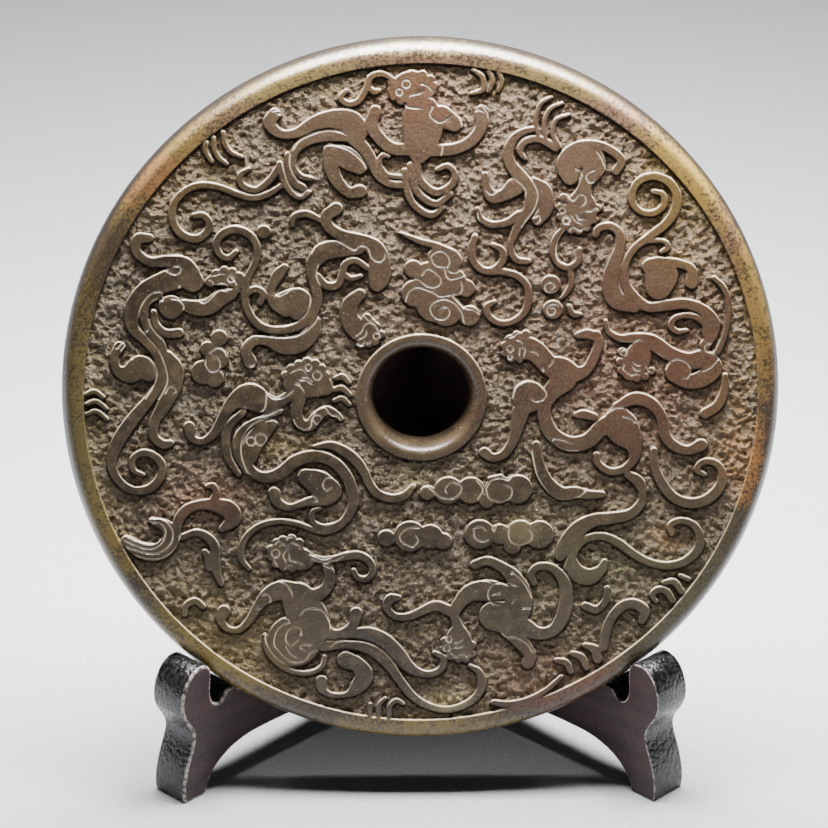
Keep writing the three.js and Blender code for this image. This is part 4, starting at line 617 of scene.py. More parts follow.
# %% The upper right dragon
upper_right_dragon = {
    "strokes": [
        [(31.2, 74.4, 1.2), (28.6, 74.3, 1.8), (25.2, 72.5, 2.3), (23.3, 69, 2.8), (23.8, 65, 3.2),
         (26.6, 61.4, 3.6), (29.3, 57.6, 3.6), (29.2, 53, 3.4), (26.8, 49.2, 2.8), (24.8, 45, 2),
         (24, 41.6, 1.8), (25.6, 38.6, 1.9), (28.8, 38, 1.7)],
        [(36, 69.4, 2.2), (31.6, 71.7, 2), (28, 71.2, 1.9), (26.3, 68.6, 1.7), (27.6, 66.4, 1.2)],
        [(30.2, 60.6, 1.6), (33, 57.4, 4.2), (33.5, 52.6, 3.8), (31.4, 49.4, 3)],
        [(17, 62, 1.8), (17.4, 58.6, 2.4), (19, 56, 3.6), (22, 56.4, 3.4), (25, 58.6, 5)],
        [(15, 52.6, 1.2), (16, 49.8, 1.7), (19, 48.3, 1.9), (23, 48.8, 2.2), (26.4, 51, 2.4)],
        [(31.2, 72.6, 1.1), (30.6, 77, 1.2), (31.8, 81.4, 1.2), (34.6, 83.2, 1)],
        [(33.2, 72, 1.1), (32.8, 76.2, 1.2), (34.4, 80, 1.2), (37.6, 81.6, 1)],
        [(37, 69.6, 1.4), (35.2, 73.2, 1.3), (36, 77, 1.2), (39.4, 78.4, 1)],
        [(52.5, 63, 2.4), (53.8, 66, 2.4), (50.4, 69, 2.4), (46, 70.4, 2.4), (41.6, 69, 4),
         (39.6, 65, 6.6), (40, 61.4, 4.6)],
        [(47, 67.6, 3.4), (46.6, 64, 6), (44.5, 60, 3.6), (43.4, 56, 5), (43, 52, 9), (42.6, 48.8, 5)],
        [(47.2, 45.4, 1.8), (48, 47.2, 2), (51, 47.8, 2.2), (53.6, 45.8, 2.4), (53.8, 42, 2.8),
         (52.4, 37.4, 3.8), (51.4, 32, 4.6), (53, 27.4, 5), (58, 25.4, 3.4)],
        [(39, 47.8, 1.4), (36.4, 44.6, 1.8), (35.6, 40.8, 1.9), (37, 37.6, 1.9), (39.8, 36.3, 1.9),
         (42.5, 38, 1.8), (42.9, 41.4, 1.3)],
        [(40.4, 35, 1.5), (40.7, 32, 1.6), (39.5, 29.4, 1.5), (38, 27.8, 1.1)],
        [(40.2, 25.6, 1.2), (41.2, 23.4, 1.8), (43.2, 23.2, 1.3)],
    ],
    "lobes": [
        (35.8, 24.6, 2.7), (38.3, 55.6, 1.3), (37.6, 53, 1.3), (37.8, 50.4, 1.3), (38.6, 48.2, 1.2),
        (40.4, 46.8, 1.2), (42.6, 46.6, 1.2), (44.6, 47.4, 1.2), (46.7, 49.6, 1.1),
        (47.5, 52.7, 1.2), (35.1, 31.6, 2.7), (43.6, 66.6, 2.8),
        (41, 67, 3), (45.6, 67, 2.4),
    ],
    "cuts": [
        [(25.3, 68.5), (25.5, 66), (27, 64), (29, 61.5), (30.8, 58.5), (31.3, 56), (30.5, 53),
         (28.8, 50.5), (27, 47.5)],
        [(20.5, 60.3), (21.5, 61.6), (23.5, 62), (26, 60.3), (28, 57.8), (27.5, 55.8), (25.5, 55.1)],
        [(17, 58), (18.5, 56.8), (20.2, 57.5), (20.8, 59.5)],
        [(15, 51.5), (15.5, 49.3), (17.5, 47.7), (20.5, 47.3)],
        [(30.5, 50.5), (31.8, 51), (32, 49.5), (31, 48.7)],
        [(46.5, 63.4), (44.7, 62.6), (44.4, 61), (45.5, 60.1), (47.5, 60.3), (47.5, 58.5)],
        [(41.5, 63.8), (42.8, 63), (43.3, 61.5)],
        [(47, 68.7), (48.5, 66.5), (49.5, 64), (50, 62.5)],
        [(39.5, 56), (41, 55), (42.5, 56.7), (44, 56.5), (44.3, 54.5), (43.3, 53.7)],
        [(45.5, 52), (47, 53), (47.8, 52.5)],
        [(38, 50), (39, 51), (40.3, 50), (39.7, 48.5)],
        [(40.5, 51), (41.5, 49.5), (43, 48.8)],
        [(41.7, 51.5), (42.5, 50), (44, 50)],
        [(38.5, 46.5), (37, 44), (36.4, 41), (37, 38.5), (39, 37.4)],
        [(35.5, 30.6), (36.2, 31.2), (35.6, 32.3), (34.3, 32.3), (33.5, 31.2), (33.9, 29.9),
         (35.3, 29.3), (36.7, 29.8)],
        [(35.3, 25.4), (36.3, 25.2), (36.4, 24.1), (35.4, 23.4), (34.3, 24), (34.3, 25.5),
         (35.6, 26.4), (37.1, 26.1)],
        [(40.2, 47), (41, 47.8), (42, 47.2), (43, 46.8), (44, 47.4)],
        [(45, 52.2), (46.3, 52.6), (47.6, 53.3)],
    ],
    "rings": [(39.1, 49.5, 0.9), (38, 52.4, 0.8)],
}
tally("The upper right dragon", upper_right_dragon)

# %% The outer right dragon
outer_right_dragon = {
    "strokes": [
        [(62.6, 57.4, 1.4), (65.2, 56.6, 1.6), (65.6, 53.6, 1.8), (63, 51.5, 1.9), (59.6, 51.7, 1.8),
         (57.2, 54, 2), (57, 57.4, 2.1), (59.2, 60.6, 2.1), (63, 61.6, 2.2), (66.8, 60, 2.4),
         (69, 56.5, 2.4), (68.8, 52.5, 2.6), (66.4, 48.6, 2.5), (61.8, 44.9, 2.3), (57.6, 41.4, 2),
         (55.3, 36.6, 2), (55.6, 31.6, 2.6), (58.2, 27.6, 3.2), (62, 25.3, 2.8), (67, 25.8, 3),
         (72, 26.2, 3), (76.6, 24.6, 3.1), (79.7, 21.4, 3.2), (79.8, 18, 2.8), (77.6, 14.6, 3)],
        [(60.5, 43.6, 1.4), (65.4, 43.7, 1.3), (67, 42, 1.6), (65.2, 40.7, 1.2)],
        [(62, 36.6, 4.2), (66, 37.6, 3.2), (70, 37.4, 2.5), (73.4, 35.8, 2.6), (73.6, 32, 3.4)],
        [(62.4, 37, 4), (65.2, 34.6, 8.8), (64.6, 30.8, 7)],
        [(79.6, 33.4, 1.4), (82, 31, 1.6), (83.6, 27.4, 1.6), (83.6, 22, 1.6), (82.8, 17, 1.6),
         (81, 12.6, 1.8)],
        [(78, 17.6, 2.4), (77.6, 20.4, 2.1), (75.2, 22.3, 1.8), (72, 23, 1.6), (69, 22, 1.6),
         (68.2, 19.8, 1.7), (70, 18.4, 1.6), (72.4, 18.7, 1.2)],
        [(50.3, 21.4, 1.1), (51.2, 18.4, 1.5), (54.4, 16.6, 2.1), (58.4, 16.6, 3), (63, 15.4, 4.4),
         (68, 12.2, 4), (73, 10.2, 4.6), (77.4, 10.6, 5.4), (80, 8, 5), (77, 5.2, 4.8), (73, 4.4, 4),
         (69, 6, 3.6)],
        [(60, 14.6, 4.4), (59, 10.6, 7.4), (57.4, 7.4, 5.6)],
        [(47.8, 17.6, 2.4), (48.3, 15, 2.5), (47.3, 11.6, 2.8), (45.2, 7.8, 3), (42, 6.6, 4.6),
         (38.2, 7.8, 7), (35, 9, 5.6), (31, 13, 6), (27.4, 14.2, 6.4), (25, 14.6, 4)],
        [(42.6, 17.4, 1.8), (45.4, 17.8, 2.8), (48, 16.8, 2.4)],
        [(39, 5, 7), (35.4, 1, 4.6), (33.6, -4, 3.6), (36, -10.2, 4), (41, -13.2, 4.4),
         (46, -12.2, 4.4), (49.6, -8.6, 4.6), (53.4, -7.6, 7)],
        [(27.3, -4, 4.8), (26.2, -9, 3.3), (24.9, -13, 2.7), (22.6, -16.2, 2.5), (19.6, -17, 2.5),
         (17.4, -15.6, 3)],
        [(42.6, -5, 1.8), (44.6, -4.8, 2.6), (47.6, -5.6, 2.2)],
        [(31.6, -13.4, 2.2), (32.4, -19, 3.2), (34.8, -24, 3.6), (38.6, -27.2, 3.8), (42.6, -27, 3.4),
         (46.4, -27.6, 2.6), (50, -27.6, 2)],
        [(53.6, -2.6, 2.2), (58.6, -0.4, 3.6), (63, -1.8, 3.4), (66, -5.6, 3), (67.2, -11, 3),
         (70, -14, 3), (73.6, -15, 2.7), (77, -13.6, 3.6)],
        [(54, -6, 7), (55.4, -9, 9), (58.2, -13, 5), (58.7, -17, 2.8), (56, -20.3, 2.3),
         (52, -21, 2.2), (48.8, -18.8, 2), (48.2, -16.2, 1.7)],
        [(83.3, 6, 1.6), (83.2, 2, 2.3), (81.4, -2.3, 2.8), (78, -4.7, 3)],
        [(64, -15, 1.8), (64.5, -20, 2.4), (66.8, -25, 2.9), (70, -28.6, 2.9), (74.5, -30.1, 3),
         (79, -29, 3.1), (82.5, -25.4, 2.9), (82.9, -21, 2.3), (80.6, -18.5, 2), (77.6, -18.4, 1.9),
         (76, -20.6, 1.7), (78.2, -22, 1.4)],
    ],
    "lobes": [
        (70.3, 7.4, 3.5), (29.4, 0.2, 4.5), (55, 12.7, 1.3), (54.5, 10, 1.2), (54.9, 7.6, 1.2),
        (56.7, 5.9, 1.2), (59, 5.4, 1.2), (61.3, 5.8, 1.1), (63, 7.4, 1.1), (22.8, 14.6, 1.2),
        (23, 12.5, 1.2), (24.5, 10.9, 1.2), (24, 16.4, 1.2), (26, 17.5, 1.2), (28.4, 17.8, 1.2),
        (26.8, 10.7, 1.1),
    ],
    "cuts": [
        [(67, 8), (68, 10), (70, 10.9), (72.3, 10), (73.5, 8.5), (73.8, 7.3), (73, 5.7), (72, 5.3)],
        [(50, 19), (51.5, 17), (54, 15.8), (57, 15.5), (59.5, 16.3)],
        [(63.5, 12.3), (65, 12), (67, 10.3)],
        [(77, 7.4), (79.5, 8.8), (82, 11.5), (84, 12.5)],
        [(82.3, 22), (82, 18.5), (81, 15.5), (80.3, 14.5)],
        [(59, 30.7), (60.3, 28), (62, 26.7)],
        [(58, 10), (59, 9.2), (60, 9.3)],
        [(57.8, 8.7), (58.6, 7.8), (59.6, 7.8)],
        [(63.2, 11), (63.8, 10.1), (64.3, 9)],
        [(55.5, 9.2), (55.2, 8), (56.3, 7.2), (57.6, 6.4), (59, 6.8), (60, 6.2)],
        [(61.6, 8.4), (62.2, 7.4), (63.2, 7.1)],
        [(56.2, 13.5), (56.8, 14.3), (57.4, 14.7)],
        [(26.7, 12), (27, 14), (28.3, 14.2), (28, 11.7)],
        [(30.7, 13), (31.3, 12.7), (31.8, 12.3)],
        [(26, 16.3), (26.7, 16.2), (27.3, 15.8)],
        [(24, 17), (25.5, 17.5), (26.5, 18.7), (27.5, 18)],
        [(25, 0), (26, 3), (28.5, 4.7), (31, 4.6), (33.3, 2.8), (34.3, 1), (33.5, -0.3), (31.5, -0.9),
         (30, -0.2)],
        [(33.3, 7.5), (32.8, 6.3), (32, 5.3)],
        [(35, 9), (35.8, 9.9), (36.3, 11)],
        [(31.5, -5), (33, -9), (35, -12), (37, -13.7), (40, -15), (43.3, -15.1)],
        [(36.7, -11.5), (38.5, -11.7), (41, -12.7)],
        [(30.5, -15), (31, -18), (32, -22), (34, -25.5), (36, -27.8), (38.5, -29), (41, -29),
         (43.5, -28), (46, -26), (48, -25), (49.3, -25)],
        [(42.8, -25), (44.3, -24.6), (45.2, -25.6), (44.8, -27)],
        [(50.2, -5), (51.5, -4), (53, -3), (55.5, -2.7)],
        [(57, -3), (59, -3.3), (60.3, -4)],
        [(55.5, -5.2), (57.5, -5.8), (58.7, -7)],
    ],
    "rings": [(78.8, 14, 1.3), (55.3, 12.7, 0.9), (24.2, 13.9, 0.9), (24.2, 11.7, 0.7)],
}
tally("The outer right dragon", outer_right_dragon)

# %% The clouds
clouds = {
    "strokes": [
        [(19.2, 42.6, 1.4), (21.6, 41.2, 1.9), (21.9, 38.2, 2), (19.4, 35.6, 2.1), (16.4, 35.7, 2.1),
         (14, 38.2, 2.1), (13.5, 41.8, 2.1), (14.4, 44.8, 1.8)],
        [(17.8, 35.2, 1.8), (21.6, 35.2, 1.9), (25.6, 34.2, 2), (28.5, 31.4, 2), (29.1, 27.4, 2),
         (27.8, 23.6, 2), (24.8, 21.3, 1.8), (21.3, 20.9, 1.8), (18.4, 22.7, 1.9), (17.8, 25.4, 1.9),
         (19.8, 26.8, 1.3)],
        [(-5.8, 45.9, 1), (-1, 43.8, 1.7), (4, 42.3, 2), (8.6, 40, 2.6)],
        [(19, -23, 1.3), (22, -22.3, 1.3)],
    ],
    "lobes": [
        (5, 39.2, 3.4), (8.3, 38, 2.7), (-2.4, 36, 2.5), (1.9, 33.8, 4.2), (8, 32.2, 4.2),
        (12, 30.6, 2.5), (-1.8, 29.2, 3.8), (3.4, 26.2, 5), (6.6, 24.4, 4.4), (13, 22.9, 2.9),
        (1.8, -27, 2.1), (7.5, -26.3, 3.9), (13.7, -26.3, 3.8), (18.2, -29.3, 2.1), (21.6, -26.2, 4),
        (26.6, -26, 4.1), (-9.5, -39.9, 2.4), (-3, -39.4, 4.4), (2.6, -39.5, 3.5), (6.2, -40.8, 2.4),
        (16.3, -38.9, 4.2), (21.9, -38.8, 2.9), (27.5, -38.6, 3.8), (32.8, -39, 4), (25.4, -42.2, 2.4),
        (-55.3, 16.8, 2.3), (-58.4, 13.8, 2.1), (-56, 11.2, 3.3), (-59.6, 7.2, 3.4), (-56.6, 5.6, 2.6),
    ],
    "cuts": [
        [(-57.5, 13), (-55.5, 14.3), (-54, 13.5), (-53.2, 12)],
        [(-58.7, 11), (-59, 9.5), (-57.8, 7.8), (-56, 7.7), (-55, 9), (-55.3, 11), (-56.5, 12)],
        [(0, -25.2), (1.5, -24.8), (3, -26), (5, -27.8), (7.5, -28.5), (9.5, -28), (11, -26.5),
         (11, -25), (9.7, -24), (8.5, -23.7), (7.3, -24.8), (6.7, -26), (7.2, -27)],
        [(15.7, -28.5), (17, -26.5), (16.7, -25), (15.3, -23.2)],
        [(18, -25.5), (19.5, -23.2), (22, -22.6), (24, -23.3), (25.2, -21.9)],
        [(18, -26), (18.7, -28.3), (21, -29.5), (23.5, -29.2), (25, -27.5), (24.8, -25.5), (23, -24.8)],
        [(-0.3, -36.7), (-3, -36.8), (-5, -38), (-5.8, -39.7), (-5, -41), (-3.5, -41.8), (-2, -42.2),
         (-0.7, -40.5), (-1.5, -39)],
        [(15.3, -36.7), (16.8, -36.5), (18, -37.7)],
        [(14.7, -38), (15, -39.7), (17, -40.7), (19, -40.2)],
        [(19.8, -36.7), (20.2, -38), (21, -36)],
        [(24.5, -37), (24.3, -39.5), (25.5, -41.2), (27.7, -41.8), (29.8, -41), (30.9, -39.3),
         (30.2, -37.7)],
        [(2.7, 40), (4, 41), (5.5, 41), (7, 39.8), (7.5, 38.3), (7, 36.8), (5, 36.8), (3.3, 37.5),
         (2.6, 39)],
        [(6.2, 36.3), (6.7, 34), (8, 33.3), (10, 33.8), (12, 34.3), (13.5, 33.3)],
        [(7, 36), (8, 35.3), (9.5, 35.2), (10.5, 36.2)],
        [(0, 34.5), (1.5, 36.2), (3.5, 35.3), (5.2, 33.3), (4.7, 31.7), (3, 31), (1, 31.7), (0, 32.5)],
        [(0, 30.8), (3, 29.8), (5, 28.6), (8, 29), (10.5, 29.5), (11, 31), (10.7, 32.5)],
        [(8, 29), (10, 26.7), (11.5, 25.3), (14, 24.8), (15.8, 23.5)],
        [(11.5, 21.5), (10.8, 24), (9, 26.5), (6.5, 27.7), (4, 27.3), (2.3, 25.5), (2.8, 23.5),
         (4.3, 22.3), (6.5, 22.3), (7.6, 23.7), (7.3, 25.2), (6, 25.6), (4.8, 24.7)],
        [(-5.7, 31), (-4.5, 33), (-3, 33.5), (-1, 33.3)],
        [(-4.5, 27), (-3.7, 29.5), (-2, 31), (0, 31)],
    ],
    "rings": [],
}
tally("The clouds", clouds)

# %% All the figures together
figures = [
    crest_dragon, upper_left_dragon, inner_left_dragon, outer_left_dragon, head_left_dragon,
    rim_left_dragon, lower_left_dragon, lower_right_dragon, upper_right_dragon, outer_right_dragon,
    clouds,
]
print(sum(len(f["strokes"]) for f in figures), "strokes,", sum(len(f["cuts"]) for f in figures), "cuts")

# %% [markdown]
# A smooth line through a few stations is a Catmull-Rom curve: it passes through each station, and
# its direction there follows the neighbours on both sides. The same function serves the strokes,
# with their widths, and the cuts, without.

# %% Smooth lines through stations


def smooth_line(stations, step):
    """Points about one step apart on a smooth curve through the stations."""
    p = np.array(stations, float)
    p = np.vstack([2 * p[0] - p[1], p, 2 * p[-1] - p[-2]])
    runs = []
    for before, a, b, after in zip(p, p[1:], p[2:], p[3:]):
        count = max(2, int(np.hypot(*(b - a)[:2]) / step))
        t = np.linspace(0, 1, count, endpoint=False)[:, None]
        runs.append(0.5 * (
            2 * a + (b - before) * t
            + (2 * before - 5 * a + 4 * b - after) * t ** 2
            + (3 * a - before - 3 * b + after) * t ** 3
        ))
    return np.vstack([*runs, p[-2:-1]])


print("a test line has", len(smooth_line([(0, 0), (5, 5), (10, 0)], 0.3)), "points")

# %% [markdown]
# The union of all the strokes is found without any boolean. A square grid over the face holds, at
# each of its points, the distance to the nearest raised edge: negative inside a raised form. Every
# stroke is a row of circles, and each circle only touches the grid points near it. The rim band and
# the collar are raised too, so they join the same grid.

# %% Distance from the raised edges
GRID = 0.25
GRID_HALF = 94.0
REACH = 3.0
STAMP_STEP = 0.3
THINNEST = 0.9
grid_line = np.arange(-GRID_HALF, GRID_HALF + GRID / 2, GRID)
grid_x, grid_y = np.meshgrid(grid_line, grid_line)
grid_r = np.hypot(grid_x, grid_y)
edge_distance = np.minimum(np.minimum(RIM_R - grid_r, grid_r - COLLAR_R), REACH)


def stamp_circle(x, y, radius):
    """Lower the grid's distances round one circle of a stroke or lobe."""
    spread = radius + REACH
    x0, x1 = np.searchsorted(grid_line, (x - spread, x + spread))
    y0, y1 = np.searchsorted(grid_line, (y - spread, y + spread))
    window = edge_distance[y0:y1, x0:x1]
    gap = np.hypot(grid_x[y0:y1, x0:x1] - x, grid_y[y0:y1, x0:x1] - y) - radius
    np.minimum(window, gap, out=window)


for figure in figures:
    for stroke in figure["strokes"]:
        for x, y, width in smooth_line(stroke, STAMP_STEP):
            stamp_circle(x, y, max(width, THINNEST) / 2)
    for x, y, radius in figure["lobes"]:
        stamp_circle(x, y, radius)
in_field = (grid_r < RIM_R) & (grid_r > COLLAR_R)
print("raised share of the field:", round(float((edge_distance[in_field] < 0).mean()), 3))


def distance_at(x, y):
    """The distance grid read between its points."""
    u = np.clip((x + GRID_HALF) / GRID, 0, len(grid_line) - 1.001)
    v = np.clip((y + GRID_HALF) / GRID, 0, len(grid_line) - 1.001)
    i, j = v.astype(int), u.astype(int)
    fv, fu = v - i, u - j
    g = edge_distance
    return ((g[i, j] * (1 - fu) + g[i, j + 1] * fu) * (1 - fv)
            + (g[i + 1, j] * (1 - fu) + g[i + 1, j + 1] * fu) * fv)


# %% [markdown]
# A crisp carved edge needs mesh edges that run along it. Marching squares walks the grid and gives
# the line where the distance has one value. Each grid square that the line crosses adds one short
# step from one side of the square to another, and the steps join up into closed loops.

# %% Lines of equal distance
# For each pattern of inside corners (1, 2, 4, 8 anticlockwise from the lower left): the steps, as
# pairs of sides, with the inside on the left. Sides: 0 below, 1 right, 2 above, 3 left.
SQUARE_STEPS = {
    1: [(0, 3)], 2: [(1, 0)], 3: [(1, 3)], 4: [(2, 1)], 5: [(0, 3), (2, 1)], 6: [(2, 0)],
    7: [(2, 3)], 8: [(3, 2)], 9: [(0, 2)], 10: [(1, 0), (3, 2)], 11: [(1, 2)], 12: [(3, 1)],
    13: [(0, 1)], 14: [(3, 0)],
}
FEWEST = 5


def equal_lines(level, spacing):
    """Closed loops of x, y points, one spacing apart, where the edge distance equals level."""
    f = edge_distance - level
    size = len(grid_line)
    inside = f < 0
    code = inside[:-1, :-1] * 1 + inside[:-1, 1:] * 2 + inside[1:, 1:] * 4 + inside[1:, :-1] * 8
    follow = {}
    for pattern, steps in SQUARE_STEPS.items():
        rows, cols = np.nonzero(code == pattern)
        base = rows * size + cols
        side = (base * 2, (base + 1) * 2 + 1, (base + size) * 2, base * 2 + 1)
        for a, b in steps:
            follow.update(zip(side[a].tolist(), side[b].tolist()))
    loops = []
    while follow:
        start, here = follow.popitem()
        loop = [start]
        while here != start:
            loop.append(here)
            here = follow.pop(here)
        loops.append(np.array(loop))
    lines = []
    for loop in loops:
        row, col = np.divmod(loop // 2, size)
        upright = loop % 2
        f0, f1 = f[row, col], f[row + upright, col + 1 - upright]
        t = f0 / (f0 - f1)
        x = grid_line[col] + t * GRID * (1 - upright)
        y = grid_line[row] + t * GRID * upright
        closed = np.column_stack([np.append(x, x[0]), np.append(y, y[0])])
        length = np.concatenate([[0], np.cumsum(np.hypot(*np.diff(closed, axis=0).T))])
        count = int(round(length[-1] / spacing))
        if count < FEWEST:
            continue
        at = np.arange(count) * length[-1] / count
        lines.append(np.column_stack([np.interp(at, length, axis) for axis in closed.T]))
    return lines


# Where the wall meets the ground and where the flat top begins, and how far apart the points stand.
FOOT, FOOT_STEP = 0.3, 0.6
EDGE_STEP = 0.55
SHOULDER, SHOULDER_STEP = -0.32, 0.7
foot_lines = equal_lines(FOOT, FOOT_STEP)
edge_lines = equal_lines(0.0, EDGE_STEP)
shoulder_lines = equal_lines(SHOULDER, SHOULDER_STEP)
print("points at the foot, edge and shoulder:",
      [sum(len(l) for l in lines) for lines in (foot_lines, edge_lines, shoulder_lines)])

# %% [markdown]
# A cut is a small V. It gets three lines of points, its bottom and its two lips, so that the V is
# real geometry. Points of a cut that leave the raised forms by more than CUT_REACH are dropped,
# because the carver only drew on the polished tops.

# %% The incised cuts
CUT_HALF = 0.4
CUT_DEPTH = 0.32
CUT_STEP = 0.55
CUT_REACH = 0.1


def ring_line(x, y, radius):
    """A closed incised circle as a smooth line."""
    count = max(9, int(2 * math.pi * radius / CUT_STEP))
    a = np.linspace(0, 2 * math.pi, count + 1)
    return np.column_stack([x + radius * np.cos(a), y + radius * np.sin(a)])


cut_lines = []
for figure in figures:
    cut_lines += [smooth_line(stations, CUT_STEP) for stations in figure["cuts"]]
    cut_lines += [ring_line(*ring) for ring in figure["rings"]]

cut_beds = np.vstack([
    line[:-1] + (line[1:] - line[:-1]) * t for line in cut_lines for t in (0, 0.25, 0.5, 0.75)
])
cut_tree = kdtree.KDTree(len(cut_beds))
for index, (x, y) in enumerate(cut_beds):
    cut_tree.insert((x, y, 0), index)
cut_tree.balance()


def distance_to_cut(points):
    """Distance from each x, y point to the nearest cut."""
    return np.array([cut_tree.find((x, y, 0))[2] for x, y in points])


print(len(cut_lines), "cuts,", len(cut_beds), "bed points")

# %% [markdown]
# Between the lines, loose points fill the rough ground closely and the flat tops sparsely. They are
# shaken off their rows, so that the triangles show no pattern. Then one constrained Delaunay call
# joins all the points, and keeps every carved edge and cut as an edge of the mesh.

# %% Points of the carved field
rng = np.random.default_rng(7)
FIELD_OUT_R = 93.6
FIELD_IN_R = 17.0
SEGMENTS = 256
GROUND_STEP = 0.62
TOP_STEP = 1.5
SHAKE = 0.33
LONGEST_EDGE = 2.5


def shaken_points(step):
    """Rows of points over the field, each shaken off its place."""
    line = np.arange(-RIM_R, RIM_R, step)
    x, y = np.meshgrid(line, line)
    points = np.column_stack([x.ravel(), y.ravel()]) + rng.uniform(-SHAKE, SHAKE, (x.size, 2)) * step
    r = np.hypot(*points.T)
    return points[(r < RIM_R - 0.3) & (r > COLLAR_R + 0.3)]


def circle_points(radius):
    """The disc's own round: the same angles for every ring."""
    a = np.arange(SEGMENTS) * 2 * math.pi / SEGMENTS
    return np.column_stack([radius * np.cos(a), radius * np.sin(a)])


ground_points = shaken_points(GROUND_STEP)
ground_points = ground_points[distance_at(*ground_points.T) > FOOT + 0.4]
top_points = shaken_points(TOP_STEP)
top_points = top_points[distance_at(*top_points.T) < SHOULDER - 0.5]
top_points = top_points[distance_to_cut(top_points) > CUT_HALF + 0.35]

chains = [(circle_points(r), True) for r in (FIELD_OUT_R, FIELD_IN_R)]
chains += [(loop, True) for lines in (foot_lines, edge_lines, shoulder_lines) for loop in lines]
for line in cut_lines:
    along = np.gradient(line, axis=0)
    aside = np.column_stack([-along[:, 1], along[:, 0]]) / np.hypot(*along.T)[:, None]
    for offset in (-CUT_HALF, 0, CUT_HALF):
        side_line = line + aside * offset
        on_top = distance_at(*side_line.T) < CUT_REACH
        if on_top.sum() > 1:
            chains.append((side_line[on_top], False))

plane_points, plane_edges = [], []
for chain, closed in chains:
    first = len(plane_points)
    plane_points.extend(chain)
    ids = list(range(first, first + len(chain)))
    plane_edges += [(a, b) for a, b in zip(ids, ids[1:])
                    if np.hypot(*(plane_points[a] - plane_points[b])) < LONGEST_EDGE]
    if closed:
        plane_edges.append((ids[-1], ids[0]))
plane_points.extend(ground_points)
plane_points.extend(top_points)
joined = delaunay_2d_cdt([Vector(p) for p in plane_points], plane_edges, [], 0, 1e-5, False)
flat = np.array([tuple(v) for v in joined[0]])
triangles = np.array([tuple(f) for f in joined[2]])
middles = np.hypot(*flat[triangles].mean(axis=1).T)
triangles = triangles[(middles < FIELD_OUT_R) & (middles > FIELD_IN_R)]
print(len(flat), "points and", len(triangles), "triangles in the field")

# %% [markdown]
# Each point's height follows from its two distances. From the foot the wall climbs steeply to the
# edge, then a soft shoulder leads on to the top, and a cut goes down as a V. The ground's own
# roughness comes after this, on the finished surface.

# %% Heights of the carved field
EDGE_DROP = 0.18


def smooth_step(value):
    """0 below 0, 1 above 1, and an S-curve between."""
    t = np.clip(value, 0, 1)
    return t * t * (3 - 2 * t)


field_d = distance_at(*flat.T)
cut_d = distance_to_cut(flat)
cut_share = np.clip(1 - cut_d / CUT_HALF, 0, 1) * (field_d < CUT_REACH)
wall = smooth_step((FOOT - field_d) / FOOT)
shoulder = smooth_step(field_d / SHOULDER)
field_z = -FIELD_DEPTH + wall * (FIELD_DEPTH - EDGE_DROP) + shoulder * EDGE_DROP
field_z -= CUT_DEPTH * cut_share
field_z[np.hypot(*flat.T) > RIM_R + 0.8] = 0
print("heights from", round(float(field_z.min()), 2), "to", round(float(field_z.max()), 2), "mm")

# %% [markdown]
# The rest of the disc is turned, like a pot on a wheel: one section, from the rim band over the
# round edge to the back, across the plain back and out through the hole. Its first and last rings
# are the same circles as the field's borders, so the two parts close up without a seam.

# %% The turned body of the disc


def round_over(from_r, to_r, from_z, to_z, steps, outward):
    """A quarter ellipse between two points of the section, without its ends."""
    a = np.linspace(0, math.pi / 2, steps + 2)[1:-1]
    wide, deep = to_r - from_r, to_z - from_z
    if outward:
        return [(from_r + wide * math.sin(t), to_z - deep * math.cos(t)) for t in a]
    return [(from_r + wide * (1 - math.cos(t)), from_z + deep * math.sin(t)) for t in a]


MID = -DISC_T / 2
BACK = -DISC_T
BACK_FIELD = BACK + BACK_DEPTH
BACK_RING_STEP = 2.5
EDGE_ROUND_STEPS = 9
HOLE_ROUND_STEPS = 7
# The back's rims meet its field in a wall that leans a little, with a narrow arris at its top.
WALL_LEAN = 0.4
ARRIS_R, ARRIS_Z = 0.12, 0.1
section = [(FIELD_OUT_R, 0), (BAND_R, 0)]
section += round_over(BAND_R, DISC_R, 0, MID, EDGE_ROUND_STEPS, True)
section += [(DISC_R, MID)]
section += round_over(BAND_R, DISC_R, BACK, MID, EDGE_ROUND_STEPS, True)[::-1]
section += [(BAND_R, BACK), (RIM_R, BACK)]
section += [(RIM_R - ARRIS_R, BACK + ARRIS_Z), (RIM_R - WALL_LEAN, BACK_FIELD)]
section += [(r, BACK_FIELD) for r in np.arange(RIM_R - 3, COLLAR_R + 1.5, -BACK_RING_STEP)]
section += [(COLLAR_R + WALL_LEAN, BACK_FIELD), (COLLAR_R + ARRIS_R, BACK + ARRIS_Z)]
section += [(COLLAR_R, BACK), (COLLAR_FLAT_R, BACK)]
section += round_over(HOLE_R, COLLAR_FLAT_R, MID, BACK, HOLE_ROUND_STEPS, False)[::-1]
section += [(HOLE_R, MID)]
section += round_over(HOLE_R, COLLAR_FLAT_R, MID, 0, HOLE_ROUND_STEPS, False)
section += [(COLLAR_FLAT_R, 0), (FIELD_IN_R, 0)]

turned_points = np.array([(x, y, z) for r, z in section for x, y in circle_points(r)])
turned_faces = []
for k in range(len(section) - 1):
    here, there = k * SEGMENTS, (k + 1) * SEGMENTS
    for i in range(SEGMENTS):
        j = (i + 1) % SEGMENTS
        turned_faces.append((here + i, there + i, there + j, here + j))

field_points = np.column_stack([flat, field_z])
shift = len(field_points)
all_points = np.vstack([field_points, turned_points])
all_faces = triangles.tolist() + [[v + shift for v in f] for f in turned_faces]
carved_disc = plain_mesh("carved_jade_disc", room_points(all_points), all_faces)
print("section:", len(section), "rings of", SEGMENTS, "points")
